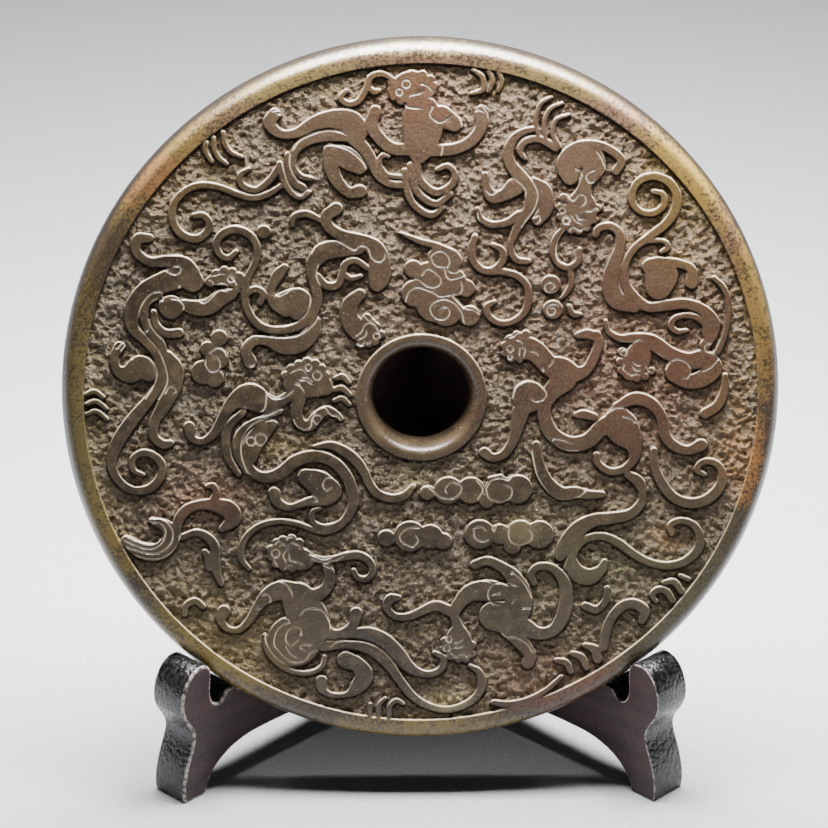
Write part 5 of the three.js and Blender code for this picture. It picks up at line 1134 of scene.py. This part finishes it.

# %% [markdown]
# Four masks ride on the disc's points, and the finish reads them. "raised" tells the tops from the
# sunk ground. "cut" marks the incised lines. "ledge" marks edges that look up, which get a painted
# highlight, and "under" marks the foot of edges that look down, which get painted shade. Which way an
# edge looks follows from the distances just above and just below it.

# %% Masks for the finish
PROBE = 0.3
# Half widths of the painted highlight band on upper edges and of the painted shade band under lower edges.
LEDGE_HALF = 0.21
UNDER_SHADE_HALF = 0.6
turned_r = np.hypot(turned_points[:, 0], turned_points[:, 1])
back_field = (turned_points[:, 2] < MID) & (turned_r < RIM_R - 0.3) & (turned_r > COLLAR_R + 0.3)
raised = np.concatenate([wall, np.where(back_field, 0.0, 1.0)])
none = np.zeros(len(turned_points))
cut_mask = np.concatenate([cut_share, none])
above = distance_at(flat[:, 0], flat[:, 1] + PROBE)
below = distance_at(flat[:, 0], flat[:, 1] - PROBE)
rise = (above - below) / (2 * PROBE)
on_edge = np.clip(1 - np.abs(field_d) / LEDGE_HALF, 0, 1)
at_foot = np.clip(1 - np.abs(field_d - FOOT / 2) / UNDER_SHADE_HALF, 0, 1)
# The ledge mask places a painted highlight on upper edges; the under mask places painted shade at the foot of
# lower edges.
ledge_mask = np.concatenate([on_edge * np.clip(0.3 + 0.75 * rise, 0, 1), none])
under_mask = np.concatenate([at_foot * np.clip(0.2 - rise, 0, 1), none])
for name, values in (("raised", raised), ("cut", cut_mask), ("ledge", ledge_mask), ("under", under_mask)):
    layer = carved_disc.data.attributes.new(name, "FLOAT", "POINT")
    layer.data.foreach_set("value", values.astype(np.float32))

WELD = 0.003
body = bmesh.new()
body.from_mesh(carved_disc.data)
bmesh.ops.remove_doubles(body, verts=body.verts, dist=WELD * MM)
bmesh.ops.recalc_face_normals(body, faces=body.faces)
loose = sum(1 for e in body.edges if len(e.link_faces) != 2)
body.to_mesh(carved_disc.data)
body.free()
print("disc:", len(carved_disc.data.vertices), "points,", loose, "open edges")

# %% [markdown]
# The sunk ground was left rough by the drill and the abrasive. A Geometry Nodes tree shakes the
# surface in and out where the "raised" mask is low: broad undulation from one noise and small pits
# from a second. Its depth and grain are inputs, so the same tree could roughen any other ground.

# %% Rough ground as Geometry Nodes


def rough_ground_tree(material):
    """A node group that roughens the sunk ground and gives the piece its material."""
    tree = bpy.data.node_groups.new("rough ground", "GeometryNodeTree")
    tree.interface.new_socket("Geometry", in_out="INPUT", socket_type="NodeSocketGeometry")
    for name, value in (("Depth", 0.1), ("Grain", 1.0), ("Pit Depth", 0.1), ("Pit Grain", 2.0)):
        socket = tree.interface.new_socket(name, in_out="INPUT", socket_type="NodeSocketFloat")
        socket.default_value = value
    tree.interface.new_socket("Geometry", in_out="OUTPUT", socket_type="NodeSocketGeometry")
    add, join = tree.nodes.new, tree.links.new
    start, end = add("NodeGroupInput"), add("NodeGroupOutput")
    place, normal = add("GeometryNodeInputPosition"), add("GeometryNodeInputNormal")
    mask = add("GeometryNodeInputNamedAttribute")
    mask.data_type = "FLOAT"
    mask.inputs["Name"].default_value = "raised"
    ground = add("ShaderNodeMapRange")
    ground.inputs["From Min"].default_value = 0.6
    ground.inputs["From Max"].default_value = 0.0
    join(mask.outputs["Attribute"], ground.inputs["Value"])
    total = None
    for depth, grain, lean_up in (("Depth", "Grain", 0.5), ("Pit Depth", "Pit Grain", 0.55)):
        noise = add("ShaderNodeTexNoise")
        noise.inputs["Detail"].default_value = 2
        join(place.outputs["Position"], noise.inputs["Vector"])
        join(start.outputs[grain], noise.inputs["Scale"])
        centred = add("ShaderNodeMath")
        centred.operation = "SUBTRACT"
        centred.inputs[1].default_value = lean_up
        join(noise.outputs["Fac"], centred.inputs[0])
        sized = add("ShaderNodeMath")
        sized.operation = "MULTIPLY"
        join(centred.outputs[0], sized.inputs[0])
        join(start.outputs[depth], sized.inputs[1])
        if total:
            both = add("ShaderNodeMath")
            join(total.outputs[0], both.inputs[0])
            join(sized.outputs[0], both.inputs[1])
            total = both
        else:
            total = sized
    masked = add("ShaderNodeMath")
    masked.operation = "MULTIPLY"
    join(total.outputs[0], masked.inputs[0])
    join(ground.outputs["Result"], masked.inputs[1])
    offset = add("ShaderNodeVectorMath")
    offset.operation = "SCALE"
    join(normal.outputs["Normal"], offset.inputs[0])
    join(masked.outputs[0], offset.inputs["Scale"])
    move, whole = add("GeometryNodeSetPosition"), add("GeometryNodeRealizeInstances")
    coat = add("GeometryNodeSetMaterial")
    coat.inputs["Material"].default_value = material
    join(start.outputs["Geometry"], move.inputs["Geometry"])
    join(offset.outputs[0], move.inputs["Offset"])
    join(move.outputs["Geometry"], whole.inputs["Geometry"])
    join(whole.outputs["Geometry"], coat.inputs["Geometry"])
    join(coat.outputs["Geometry"], end.inputs["Geometry"])
    return tree


def finish_with_nodes(piece, tree, **sizes):
    """Run a Geometry Nodes tree on a piece and keep the result as its plain mesh."""
    modifier = piece.modifiers.new(tree.name, "NODES")
    modifier.node_group = tree
    for item in tree.interface.items_tree:
        if item.in_out == "INPUT" and item.name in sizes:
            modifier[item.identifier] = sizes[item.name]
    evaluated = piece.evaluated_get(bpy.context.evaluated_depsgraph_get())
    mesh = bpy.data.meshes.new_from_object(evaluated)
    piece.modifiers.clear()
    piece.data = mesh
    return piece


# %% [markdown]
# Jade of this kind is not one colour. The body is dark brown, clouded with russet, and olive-yellow
# shows where the outer skin of the pebble was left. A soft patch is a small node group: it gives a
# mask round a centre with a ragged edge. The disc uses it many times with its own centres and
# sizes, and so could any other stone.

# %% Soft patch, a node group


def group_with(name, inputs, outputs):
    """An empty shader node group with named sockets, and its input and output nodes."""
    group = bpy.data.node_groups.new(name, "ShaderNodeTree")
    for socket_name, kind, value in inputs:
        socket = group.interface.new_socket(socket_name, in_out="INPUT", socket_type=kind)
        if value is not None:
            socket.default_value = value
    for socket_name, kind in outputs:
        group.interface.new_socket(socket_name, in_out="OUTPUT", socket_type=kind)
    return group, group.nodes.new("NodeGroupInput"), group.nodes.new("NodeGroupOutput")


def math_node(tree, operation, a, b):
    """A Math node on two numbers or sockets. It returns the output socket."""
    node = tree.nodes.new("ShaderNodeMath")
    node.operation = operation
    for index, value in enumerate((a, b)):
        if isinstance(value, (int, float)):
            node.inputs[index].default_value = value
        else:
            tree.links.new(value, node.inputs[index])
    return node.outputs[0]


def plus(tree, a, b):
    """The sum of two numbers or sockets."""
    return math_node(tree, "ADD", a, b)


def times(tree, a, b):
    """The product of two numbers or sockets."""
    return math_node(tree, "MULTIPLY", a, b)


def noise_node(tree, vector, scale, detail=3.0, roughness=0.5, distortion=0.0):
    """A Noise Texture on a vector."""
    node = tree.nodes.new("ShaderNodeTexNoise")
    node.inputs["Scale"].default_value = scale
    node.inputs["Detail"].default_value = detail
    node.inputs["Roughness"].default_value = roughness
    node.inputs["Distortion"].default_value = distortion
    tree.links.new(vector, node.inputs["Vector"])
    return node.outputs["Fac"]


def range_node(tree, value, low_in, high_in, low_out=0.0, high_out=1.0, smooth=True):
    """A Map Range node from one span to another."""
    node = tree.nodes.new("ShaderNodeMapRange")
    node.interpolation_type = "SMOOTHSTEP" if smooth else "LINEAR"
    node.inputs["From Min"].default_value = low_in
    node.inputs["From Max"].default_value = high_in
    node.inputs["To Min"].default_value = low_out
    node.inputs["To Max"].default_value = high_out
    tree.links.new(value, node.inputs["Value"])
    return node.outputs["Result"]


def mix_colour(tree, factor, a, b):
    """A colour mix. The factor and the colours are numbers or sockets."""
    node = tree.nodes.new("ShaderNodeMix")
    node.data_type = "RGBA"
    sockets = (node.inputs["Factor"], node.inputs[6], node.inputs[7])
    for socket, value in zip(sockets, (factor, a, b)):
        if isinstance(value, bpy.types.NodeSocket):
            tree.links.new(value, socket)
        elif isinstance(value, tuple):
            socket.default_value = (*value, 1)
        else:
            socket.default_value = value
    return node.outputs[2]


def piece_mask(tree, name):
    """A float attribute of the piece's own mesh."""
    node = tree.nodes.new("ShaderNodeAttribute")
    node.attribute_name = name
    return node.outputs["Fac"]


patch, patch_in, patch_out = group_with(
    "soft patch",
    [("Vector", "NodeSocketVector", None), ("Centre", "NodeSocketVector", (0, 0, 0)),
     ("Size", "NodeSocketVector", (1, 1, 1)), ("Edge", "NodeSocketFloat", 0.5),
     ("Ragged", "NodeSocketFloat", 0.0)],
    [("Mask", "NodeSocketFloat")],
)
away = patch.nodes.new("ShaderNodeVectorMath")
away.operation = "SUBTRACT"
shrunk = patch.nodes.new("ShaderNodeVectorMath")
shrunk.operation = "DIVIDE"
reach = patch.nodes.new("ShaderNodeVectorMath")
reach.operation = "LENGTH"
patch.links.new(patch_in.outputs["Vector"], away.inputs[0])
patch.links.new(patch_in.outputs["Centre"], away.inputs[1])
patch.links.new(away.outputs[0], shrunk.inputs[0])
patch.links.new(patch_in.outputs["Size"], shrunk.inputs[1])
patch.links.new(shrunk.outputs[0], reach.inputs[0])
ragged = math_node(patch, "ADD", reach.outputs["Value"], patch_in.outputs["Ragged"])
fade = patch.nodes.new("ShaderNodeMapRange")
fade.interpolation_type = "SMOOTHSTEP"
fade.inputs["From Min"].default_value = 1.3
patch.links.new(ragged, fade.inputs["Value"])
patch.links.new(patch_in.outputs["Edge"], fade.inputs["From Max"])
patch.links.new(fade.outputs["Result"], patch_out.inputs["Mask"])
print("soft patch has", len(patch.nodes), "nodes")

# %% [markdown]
# The jade's colours are named values, as linear red, green and blue: the stone itself, the stains of
# the pebble's old skin, what has settled on it since it was carved, and painted highlights and
# painted shade. A stain is a place on the face, a half size across and up, a colour and a strength.

# %% Colours and stains of the jade
STONE_DARK = (0.023, 0.0165, 0.0100)
STONE_LIGHT = (0.048, 0.034, 0.0205)
MOTTLE = (0.085, 0.060, 0.033)
# Pale dots painted on as glints, a painted highlight.
DOT_PAINTED_GLINT = (0.36, 0.29, 0.19)
OLIVE = (0.13, 0.10, 0.03)
STRAW = (0.42, 0.36, 0.17)
RUSSET = (0.16, 0.055, 0.03)
AMBER = (0.30, 0.13, 0.035)
MOSS = (0.085, 0.082, 0.035)
GOLD = (0.22, 0.15, 0.03)
ROSE = (0.20, 0.115, 0.075)
UMBER = (0.014, 0.010, 0.007)
BAND_STAIN = (0.022, 0.016, 0.010)
GROUND_DUST = (0.260, 0.187, 0.104)
# Painted shade: the outer rounding behind the band is darkened to stand in for its dark reflection and shaded
# side.
ROUNDING_PAINTED_SHADE = (0.013, 0.011, 0.010)
# Pale colour in the cuts: partly dust, partly a painted highlight for the lit walls of the grooves.
CUT_DUST_AND_PAINTED_HIGHLIGHT = (0.60, 0.49, 0.35)
# A painted highlight for the upper edges, then painted shade for the foot of the lower edges.
LEDGE_PAINTED_HIGHLIGHT = (0.64, 0.53, 0.38)
UNDER_EDGE_PAINTED_SHADE = (0.010, 0.008, 0.006)
STAINS = [
    (48, 48, 62, 58, ROSE, 0.5), (0, 78, 70, 24, ROSE, 0.4), (0, 20, 34, 34, ROSE, 0.25),
    (-70, -50, 45, 50, UMBER, 0.5), (60, -52, 45, 30, MOSS, 0.35), (-74, 40, 26, 40, UMBER, 0.3),
    (73, 64, 16, 22, GOLD, 0.75), (92, 30, 7, 30, GOLD, 0.6), (-70, 66, 20, 18, GOLD, 0.35),
    (-88, -45, 9, 22, GOLD, 0.4), (-60, -76, 16, 12, GOLD, 0.35), (76, 36, 10, 12, GOLD, 0.3),
    (-60, -28, 16, 9, RUSSET, 0.5), (-38, -14, 10, 4, GOLD, 0.4), (-74, 62, 12, 9, RUSSET, 0.4),
    (84, -6, 9, 20, GOLD, 0.4), (62, 6, 24, 18, RUSSET, 0.4), (62, 52, 12, 20, GOLD, 0.25),
    (-3, 84, 18, 9, RUSSET, 0.55), (60, 10, 40, 45, RUSSET, 0.3), (35, -80, 22, 10, RUSSET, 0.45),
    (-40, 88, 34, 7, OLIVE, 0.7), (40, 88, 34, 7, OLIVE, 0.6), (0, 98, 30, 3, STRAW, 0.4),
    (-92, -20, 7, 55, OLIVE, 0.55), (-64, -64, 20, 20, OLIVE, 0.4), (8, -87, 8, 4, STRAW, 0.6),
    (28, -37, 6, 5, STRAW, 0.45), (-3, -23, 6, 4, STRAW, 0.45), (88, -18, 6, 12, AMBER, 0.7),
    (67, -40, 6, 5, AMBER, 0.6), (52, -47, 18, 9, MOSS, 0.7), (2, -96, 48, 5, GOLD, 0.5),
    (-58, -76, 22, 20, GOLD, 0.35),
]
STAIN_DEPTH = 6
STAIN_EDGE = 0.3
STAIN_ON_TOPS = 0.35
print(len(STAINS), "stains")

# %% [markdown]
# Object coordinates are turned into the disc's own frame by a Mapping node, so every size of the
# pattern is in millimetres on the face. A few noises of falling size serve all that follows, and so
# do three masks: the sunk ground, the rim band, and the rounding behind the band.

# %% Jade: frame, noises and masks
jade, jade_tree, jade_shader = new_material("mottled jade")
jade_place = jade_tree.nodes.new("ShaderNodeTexCoord")
on_face = jade_tree.nodes.new("ShaderNodeMapping")
on_face.vector_type = "TEXTURE"
on_face.inputs["Location"].default_value = FACE_CENTRE * MM
on_face.inputs["Rotation"].default_value = (math.pi / 2 - LEAN, 0, 0)
on_face.inputs["Scale"].default_value = (MM, MM, MM)
jade_tree.links.new(jade_place.outputs["Object"], on_face.inputs["Vector"])
face = on_face.outputs["Vector"]

cloudy = noise_node(jade_tree, face, 0.035, 6, 0.6, 0.6)
mottle = noise_node(jade_tree, face, 0.22, 5, 0.65, 0.3)
speck = noise_node(jade_tree, face, 1.1, 4, 0.65)
dots = noise_node(jade_tree, face, 1.9, 2, 0.5)
wide_wave = times(jade_tree, math_node(jade_tree, "SUBTRACT", mottle, 0.5), 1.8)
fine_wave = times(jade_tree, math_node(jade_tree, "SUBTRACT", speck, 0.5), 2.4)
ragged_edge = plus(jade_tree, wide_wave, fine_wave)

face_axes = jade_tree.nodes.new("ShaderNodeSeparateXYZ")
jade_tree.links.new(face, face_axes.inputs[0])
from_middle = jade_tree.nodes.new("ShaderNodeVectorMath")
from_middle.operation = "LENGTH"
jade_tree.links.new(face, from_middle.inputs[0])
sunk = range_node(jade_tree, piece_mask(jade_tree, "raised"), 0.55, 0.1)
band = range_node(jade_tree, from_middle.outputs["Value"], RIM_R - 0.8, RIM_R + 0.2)
rounding = times(jade_tree, range_node(jade_tree, face_axes.outputs["Z"], -0.8, -4.0, 0.0, 0.85), band)
print("jade:", len(jade_tree.nodes), "nodes for its frame, noises and masks")

# %% [markdown]
# The bare stone is dark brown, clouded and mottled, with a few pale dots that are painted glints.
# The stains lie on it ragged-edged. They show fully on the sunk ground and the rim band, and only
# tint the tops, which were polished clean.

# %% Jade: the stone and its stains
stone = mix_colour(jade_tree, range_node(jade_tree, cloudy, 0.35, 0.65), STONE_DARK, STONE_LIGHT)
stone = mix_colour(jade_tree, range_node(jade_tree, mottle, 0.42, 0.70, 0.0, 0.6), stone, MOTTLE)
# Pale dots scattered over the stone as painted glints.
stone = mix_colour(jade_tree, range_node(jade_tree, dots, 0.66, 0.74, 0.0, 0.6), stone, DOT_PAINTED_GLINT)
unpolished = math_node(jade_tree, "MAXIMUM", sunk, band)
skin = range_node(jade_tree, unpolished, 0.0, 1.0, STAIN_ON_TOPS, 1.0, False)
for x, y, across, tall, colour, strength in STAINS:
    spot = jade_tree.nodes.new("ShaderNodeGroup")
    spot.node_tree = patch
    spot.inputs["Centre"].default_value = (x, y, 0)
    spot.inputs["Size"].default_value = (across, tall, STAIN_DEPTH)
    spot.inputs["Edge"].default_value = STAIN_EDGE
    jade_tree.links.new(face, spot.inputs["Vector"])
    jade_tree.links.new(ragged_edge, spot.inputs["Ragged"])
    share = times(jade_tree, times(jade_tree, spot.outputs["Mask"], strength), skin)
    stone = mix_colour(jade_tree, share, stone, colour)
share = times(jade_tree, band, range_node(jade_tree, ragged_edge, 0.0, 0.3, 0.0, 0.55))
stone = mix_colour(jade_tree, share, stone, BAND_STAIN)
print("jade:", len(jade_tree.nodes), "nodes with its stains")

# %% [markdown]
# Dust in the rough ground comes last, with painted shade on the outer rounding, a pale colour in the
# cuts that is partly dust and partly painted highlight, a painted highlight on the upper edges and
# painted shade under the lower edges. The surface is polished, a little duller in the ground, and dull under
# the lower edges and on the lower half of the rounding.

# %% Jade: dust, painted highlights and shade, and polish
dusty = plus(jade_tree, times(jade_tree, range_node(jade_tree, speck, 0.38, 0.68), 0.4), 0.18)
stone = mix_colour(jade_tree, times(jade_tree, sunk, dusty), stone, GROUND_DUST)
# Painted shade darkens the outer rounding, standing in for its dark reflection and shaded side.
stone = mix_colour(jade_tree, rounding, stone, ROUNDING_PAINTED_SHADE)
# Colours over the masks: the cut colour is partly dust and partly painted highlight, the ledge colour is a
# painted highlight on upper edges, the under colour is painted shade below lower edges.
for mask_name, low_in, high_in, most, colour in (
        ("cut", 0.25, 0.9, 0.9, CUT_DUST_AND_PAINTED_HIGHLIGHT), ("ledge", 0.25, 0.95, 0.9, LEDGE_PAINTED_HIGHLIGHT),
        ("under", 0.05, 0.6, 0.85, UNDER_EDGE_PAINTED_SHADE)):
    share = range_node(jade_tree, piece_mask(jade_tree, mask_name), low_in, high_in, 0.0, most)
    stone = mix_colour(jade_tree, share, stone, colour)
jade_tree.links.new(stone, jade_shader.inputs["Base Color"])

rough_stone = range_node(jade_tree, mottle, 0.3, 0.75, 0.13, 0.27)
roughness = plus(jade_tree, times(jade_tree, sunk, 0.06), rough_stone)
jade_tree.links.new(roughness, jade_shader.inputs["Roughness"])
jade_shader.inputs["IOR"].default_value = 1.55
low_side = times(jade_tree, rounding, range_node(jade_tree, face_axes.outputs["Y"], 45.0, 5.0))
dull_foot = range_node(jade_tree, piece_mask(jade_tree, "under"), 0.0, 0.5)
dull = math_node(jade_tree, "MAXIMUM", dull_foot, low_side)
shine = range_node(jade_tree, dull, 0.0, 0.85, 0.45, 0.03)
jade_tree.links.new(shine, jade_shader.inputs["Specular IOR Level"])

fine_bump = jade_tree.nodes.new("ShaderNodeBump")
fine_bump.inputs["Strength"].default_value = 1.0
fine_bump.inputs["Distance"].default_value = 0.0015
bumpy = plus(jade_tree, times(jade_tree, sunk, 0.88), 0.12)
jade_tree.links.new(times(jade_tree, speck, bumpy), fine_bump.inputs["Height"])
jade_tree.links.new(fine_bump.outputs["Normal"], jade_shader.inputs["Normal"])
print("jade:", len(jade_tree.nodes), "nodes in all")

# %% Roughen, paint and place the disc
GROUND_ROUGHNESS = {"Depth": 2.8 * MM, "Grain": 700.0, "Pit Depth": 1.5 * MM, "Pit Grain": 230.0}
CRISP_ANGLE = math.radians(24)
finish_with_nodes(carved_disc, rough_ground_tree(jade), **GROUND_ROUGHNESS)
carved_disc.data.shade_smooth()
carved_disc.data.set_sharp_from_angle(angle=CRISP_ANGLE)
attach(carved_disc, "root")
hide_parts("jade_disc")
carved_disc.data.calc_loop_triangles()
print("finished disc:", len(carved_disc.data.loop_triangles), "triangles")

# %% [markdown]
# A stand board is a sawn side view with every edge eased by a file. Its outline is a few smooth
# curves: foot, leg, hook, ledge, post, the rear leg and the arch. The board is that outline pulled
# to its thickness, and a Bevel modifier rounds the edges.

# %% The stand's sizes
BOARD_T = 12.0
BOARD_L = 125.0
FOOT_L = 8.1
SPREAD = 65.95
ARCH_H = 12.2
LEDGE_Z = 27.1
REST_Z = 30.0
GROOVE_Z = 24.4
POST_Z = 150.0
LAP_Z = 66.0
GAP = 0.3
FRONT_Y = -48.41
CROSSING = SPREAD * math.sqrt(2)


def post_at(z):
    """Where the post's front edge stands at a height: it leans with the disc's back."""
    return 59.7 + (z - FACE_CENTRE[2]) * 0.3265 + GAP


def bezier(a, b, c, d, steps=12):
    """Points on a cubic curve, without its first."""
    t = np.linspace(0, 1, steps + 1)[1:, None]
    a, b, c, d = (np.array(p, float) for p in (a, b, c, d))
    return list((1 - t) ** 3 * a + 3 * (1 - t) ** 2 * t * b + 3 * (1 - t) * t * t * c + t ** 3 * d)


def board_outline():
    """The board's side view, as (along, up) points in millimetres, from the front foot's corner."""
    rear = BOARD_L
    groove = post_at(GROOVE_Z)
    path = [np.array((0.0, 0.0))]

    def curve(b, c, d):
        path.extend(bezier(path[-1], b, c, d))

    curve((-1, 4), (0, 8), (1.3, 12))
    curve((2.4, 15), (4.4, 18.6), (3.7, 21))
    curve((3, 23.6), (0.6, 25.6), (-0.3, 29))
    curve((-1.3, 33.6), (1.4, 41.2), (6.9, 41.2))
    curve((12.6, 41.2), (10.2, 35.4), (10.5, 31.4))
    curve((10.7, 28.6), (12, LEDGE_Z), (14, LEDGE_Z))
    curve((15, LEDGE_Z), (16, REST_Z), (17.4, REST_Z))
    path.extend([np.array((20, REST_Z)), np.array((groove - 3, GROOVE_Z))])
    curve((groove - 1, GROOVE_Z), (groove, GROOVE_Z + 1), (post_at(GROOVE_Z + 3), GROOVE_Z + 3))
    path.append(np.array((post_at(POST_Z - 6), POST_Z - 6)))
    curve((post_at(POST_Z) + 0.8, POST_Z + 1.4), (83, POST_Z + 1.6), (85, POST_Z - 6))
    curve((88, 134), (110, 138), (rear - 12, 116))
    curve((rear - 10, 106), (rear - 14, 92), (rear - 11, 80))
    curve((rear - 8, 64), (rear + 2, 56), (rear, 40))
    curve((rear - 1, 28), (rear - 7, 20), (rear - 1, 10))
    curve((rear + 0.6, 6), (rear + 0.6, 3), (rear, 0))
    path.append(np.array((rear - FOOT_L, 0)))
    curve((rear - FOOT_L - 1, 6), (rear - 16, ARCH_H), (rear - 29, ARCH_H))
    curve((rear - 44, ARCH_H), (66, 11), (BOARD_L / 2, 8.6))
    curve((59, 11), (44, ARCH_H), (29, ARCH_H))
    curve((16, ARCH_H), (FOOT_L + 1, 6), (FOOT_L, 0))
    return np.array(path)


print("outline:", len(board_outline()), "points")

# %% [markdown]
# The two boards cross in a halved joint: the left board is slotted from below and the right one
# from above. The slot is put into the outline itself. Where the outline passes between the slot's
# two sides, its points are dropped, and the slot's four corners take their place.

# %% Slotted outline


END_SLACK = 0.15


def within_length(outline):
    """The outline squeezed by a hair, so that its bulging feet and hook stay within the board."""
    along = outline[:, 0]
    fitted = END_SLACK + (along - along.min()) * (BOARD_L - 2 * END_SLACK) / (along.max() - along.min())
    return np.column_stack([fitted, outline[:, 1]])


def slotted(outline, side):
    """The outline with its half of the cross joint cut in."""
    near = CROSSING - GAP
    far = near + BOARD_T + 2 * GAP
    end_z = LAP_Z if side == "left" else LAP_Z - GAP
    is_low = outline[:, 1] < LAP_Z
    doomed = (outline[:, 0] > near) & (outline[:, 0] < far) & (is_low if side == "left" else ~is_low)
    keep = []
    count = len(outline)
    for i in range(count):
        if not doomed[i]:
            keep.append(outline[i])
            continue
        if doomed[i - 1]:
            continue
        last = i
        while doomed[(last + 1) % count]:
            last += 1
        first_u, last_u = (far, near) if side == "left" else (near, far)
        way_in = (first_u, outline[i - 1], outline[i])
        way_out = (last_u, outline[last], outline[(last + 1) % count])
        for u, a, b in (way_in, way_out):
            z = a[1] + (b[1] - a[1]) * (u - a[0]) / (b[0] - a[0])
            pair = [np.array((u, z)), np.array((u, end_z))]
            keep.extend(pair if u == first_u else pair[::-1])
    return np.array(keep)


for side in ("left", "right"):
    print(side, "slotted outline:", len(slotted(within_length(board_outline()), side)), "points")


# %% [markdown]
# Lacquered wood in three finishes: the broad faces show a matt reddish-brown wash with a faint grain
# along the board, the edges carry the thick black lacquer, pebbled by age, and the eased corners
# between them are pale, partly worn and partly a painted highlight. The grain is one node group, turned to
# each board's own direction.

# %% Wood and lacquer
GRAIN_PER_METRE = (25, 300, 300)
PEBBLES_PER_METRE = 800
grain, grain_in, grain_out = group_with(
    "wood grain",
    [("Vector", "NodeSocketVector", None), ("Turn", "NodeSocketFloat", 0.0),
     ("Fineness", "NodeSocketFloat", 1.0)],
    [("Streaks", "NodeSocketFloat"), ("Pebbles", "NodeSocketFloat")],
)
turned = grain.nodes.new("ShaderNodeVectorRotate")
turned.rotation_type = "Z_AXIS"
grain.links.new(grain_in.outputs["Vector"], turned.inputs["Vector"])
grain.links.new(grain_in.outputs["Turn"], turned.inputs["Angle"])
stretched = grain.nodes.new("ShaderNodeVectorMath")
stretched.operation = "MULTIPLY"
stretched.inputs[1].default_value = GRAIN_PER_METRE
grain.links.new(turned.outputs["Vector"], stretched.inputs[0])
streaks = grain.nodes.new("ShaderNodeTexNoise")
streaks.inputs["Detail"].default_value = 5
grain.links.new(stretched.outputs[0], streaks.inputs["Vector"])
grain.links.new(grain_in.outputs["Fineness"], streaks.inputs["Scale"])
pebbles = grain.nodes.new("ShaderNodeTexNoise")
pebbles.inputs["Scale"].default_value = PEBBLES_PER_METRE
pebbles.inputs["Detail"].default_value = 3
grain.links.new(turned.outputs["Vector"], pebbles.inputs["Vector"])
grain.links.new(streaks.outputs["Fac"], grain_out.inputs["Streaks"])
grain.links.new(pebbles.outputs["Fac"], grain_out.inputs["Pebbles"])


# For each finish: its dark and light tone, its smoothest and roughest, how much the streaks count
# against the pebbles, and how deep its bump is in metres.
FINISHES = {
    "wash": ((0.013, 0.0045, 0.005), (0.032, 0.011, 0.012), 0.5, 0.7, 0.8, 0.00012),
    "lacquer": ((0.004, 0.004, 0.0045), (0.014, 0.013, 0.013), 0.16, 0.4, 0.1, 0.0011),
    # The eased edges' pale tone is partly wear and partly a painted highlight.
    "worn edge and painted highlight": ((0.018, 0.012, 0.012), (0.38, 0.33, 0.29), 0.4, 0.6, 0.1, 0.0003),
}


def wood_finish(name, turn, dark, light, rough_low, rough_high, streak_share, bump_depth):
    """A wood or lacquer material whose grain runs along its board."""
    material, tree, shader = new_material(name)
    place = tree.nodes.new("ShaderNodeTexCoord")
    node = tree.nodes.new("ShaderNodeGroup")
    node.node_tree = grain
    node.inputs["Turn"].default_value = turn
    tree.links.new(place.outputs["Object"], node.inputs["Vector"])
    tone = plus(tree, times(tree, node.outputs["Streaks"], streak_share),
                times(tree, node.outputs["Pebbles"], 1 - streak_share))
    spread = range_node(tree, tone, 0.35, 0.65)
    tree.links.new(mix_colour(tree, spread, dark, light), shader.inputs["Base Color"])
    tree.links.new(range_node(tree, node.outputs["Pebbles"], 0.3, 0.7, rough_low, rough_high),
                   shader.inputs["Roughness"])
    bump = tree.nodes.new("ShaderNodeBump")
    bump.inputs["Strength"].default_value = 0.4
    bump.inputs["Distance"].default_value = bump_depth
    tree.links.new(tone, bump.inputs["Height"])
    tree.links.new(bump.outputs["Normal"], shader.inputs["Normal"])
    return material


print("wood grain has", len(grain.nodes), "nodes")

# %% The two boards
TURNS = {"left": math.radians(45), "right": math.radians(135)}
BROAD_FACES = 2
EASE_R = 0.7
EASE_STEPS = 3
EASE_ANGLE = math.radians(50)
BOARD_SHARP_ANGLE = math.radians(35)


def stand_board(side):
    """Make one finished board of the stand, in place."""
    sign = -1 if side == "left" else 1
    turn = TURNS[side]
    outline = slotted(within_length(board_outline()), side)
    faces_w = (-BOARD_T, 0.0) if side == "left" else (0.0, BOARD_T)
    points = []
    for w in faces_w:
        for u, z in outline:
            x = sign * SPREAD + u * math.cos(turn) + w * math.sin(turn)
            y = FRONT_Y + u * math.sin(turn) - w * math.cos(turn)
            points.append((x * MM, y * MM, z * MM))
    count = len(outline)
    faces = [tuple(range(count)), tuple(range(2 * count - 1, count - 1, -1))]
    faces += [(i, count + i, count + (i + 1) % count, (i + 1) % count) for i in range(count)]
    board = plain_mesh(f"{side}_board", points, faces)
    for finish, values in FINISHES.items():
        board.data.materials.append(wood_finish(f"{side} board {finish}", -turn, *values))
    slots = {finish: index for index, finish in enumerate(FINISHES)}
    for index, polygon in enumerate(board.data.polygons):
        polygon.material_index = slots["wash"] if index < BROAD_FACES else slots["lacquer"]
    shell = bmesh.new()
    shell.from_mesh(board.data)
    bmesh.ops.recalc_face_normals(shell, faces=shell.faces)
    shell.to_mesh(board.data)
    shell.free()
    ease = board.modifiers.new("eased edges", "BEVEL")
    ease.width = EASE_R * MM
    ease.segments = EASE_STEPS
    # The bevel faces take the pale finish, partly wear and partly a painted highlight.
    ease.material = slots["worn edge and painted highlight"]
    ease.limit_method = "ANGLE"
    ease.angle_limit = EASE_ANGLE
    evaluated = board.evaluated_get(bpy.context.evaluated_depsgraph_get())
    eased = bpy.data.meshes.new_from_object(evaluated)
    board.modifiers.clear()
    board.data = eased
    board.data.shade_smooth()
    board.data.set_sharp_from_angle(angle=BOARD_SHARP_ANGLE)
    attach(board, "root")
    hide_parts(f"{side}_stand_board")
    print(board.name, len(board.data.polygons), "faces")


for side in ("left", "right"):
    stand_board(side)
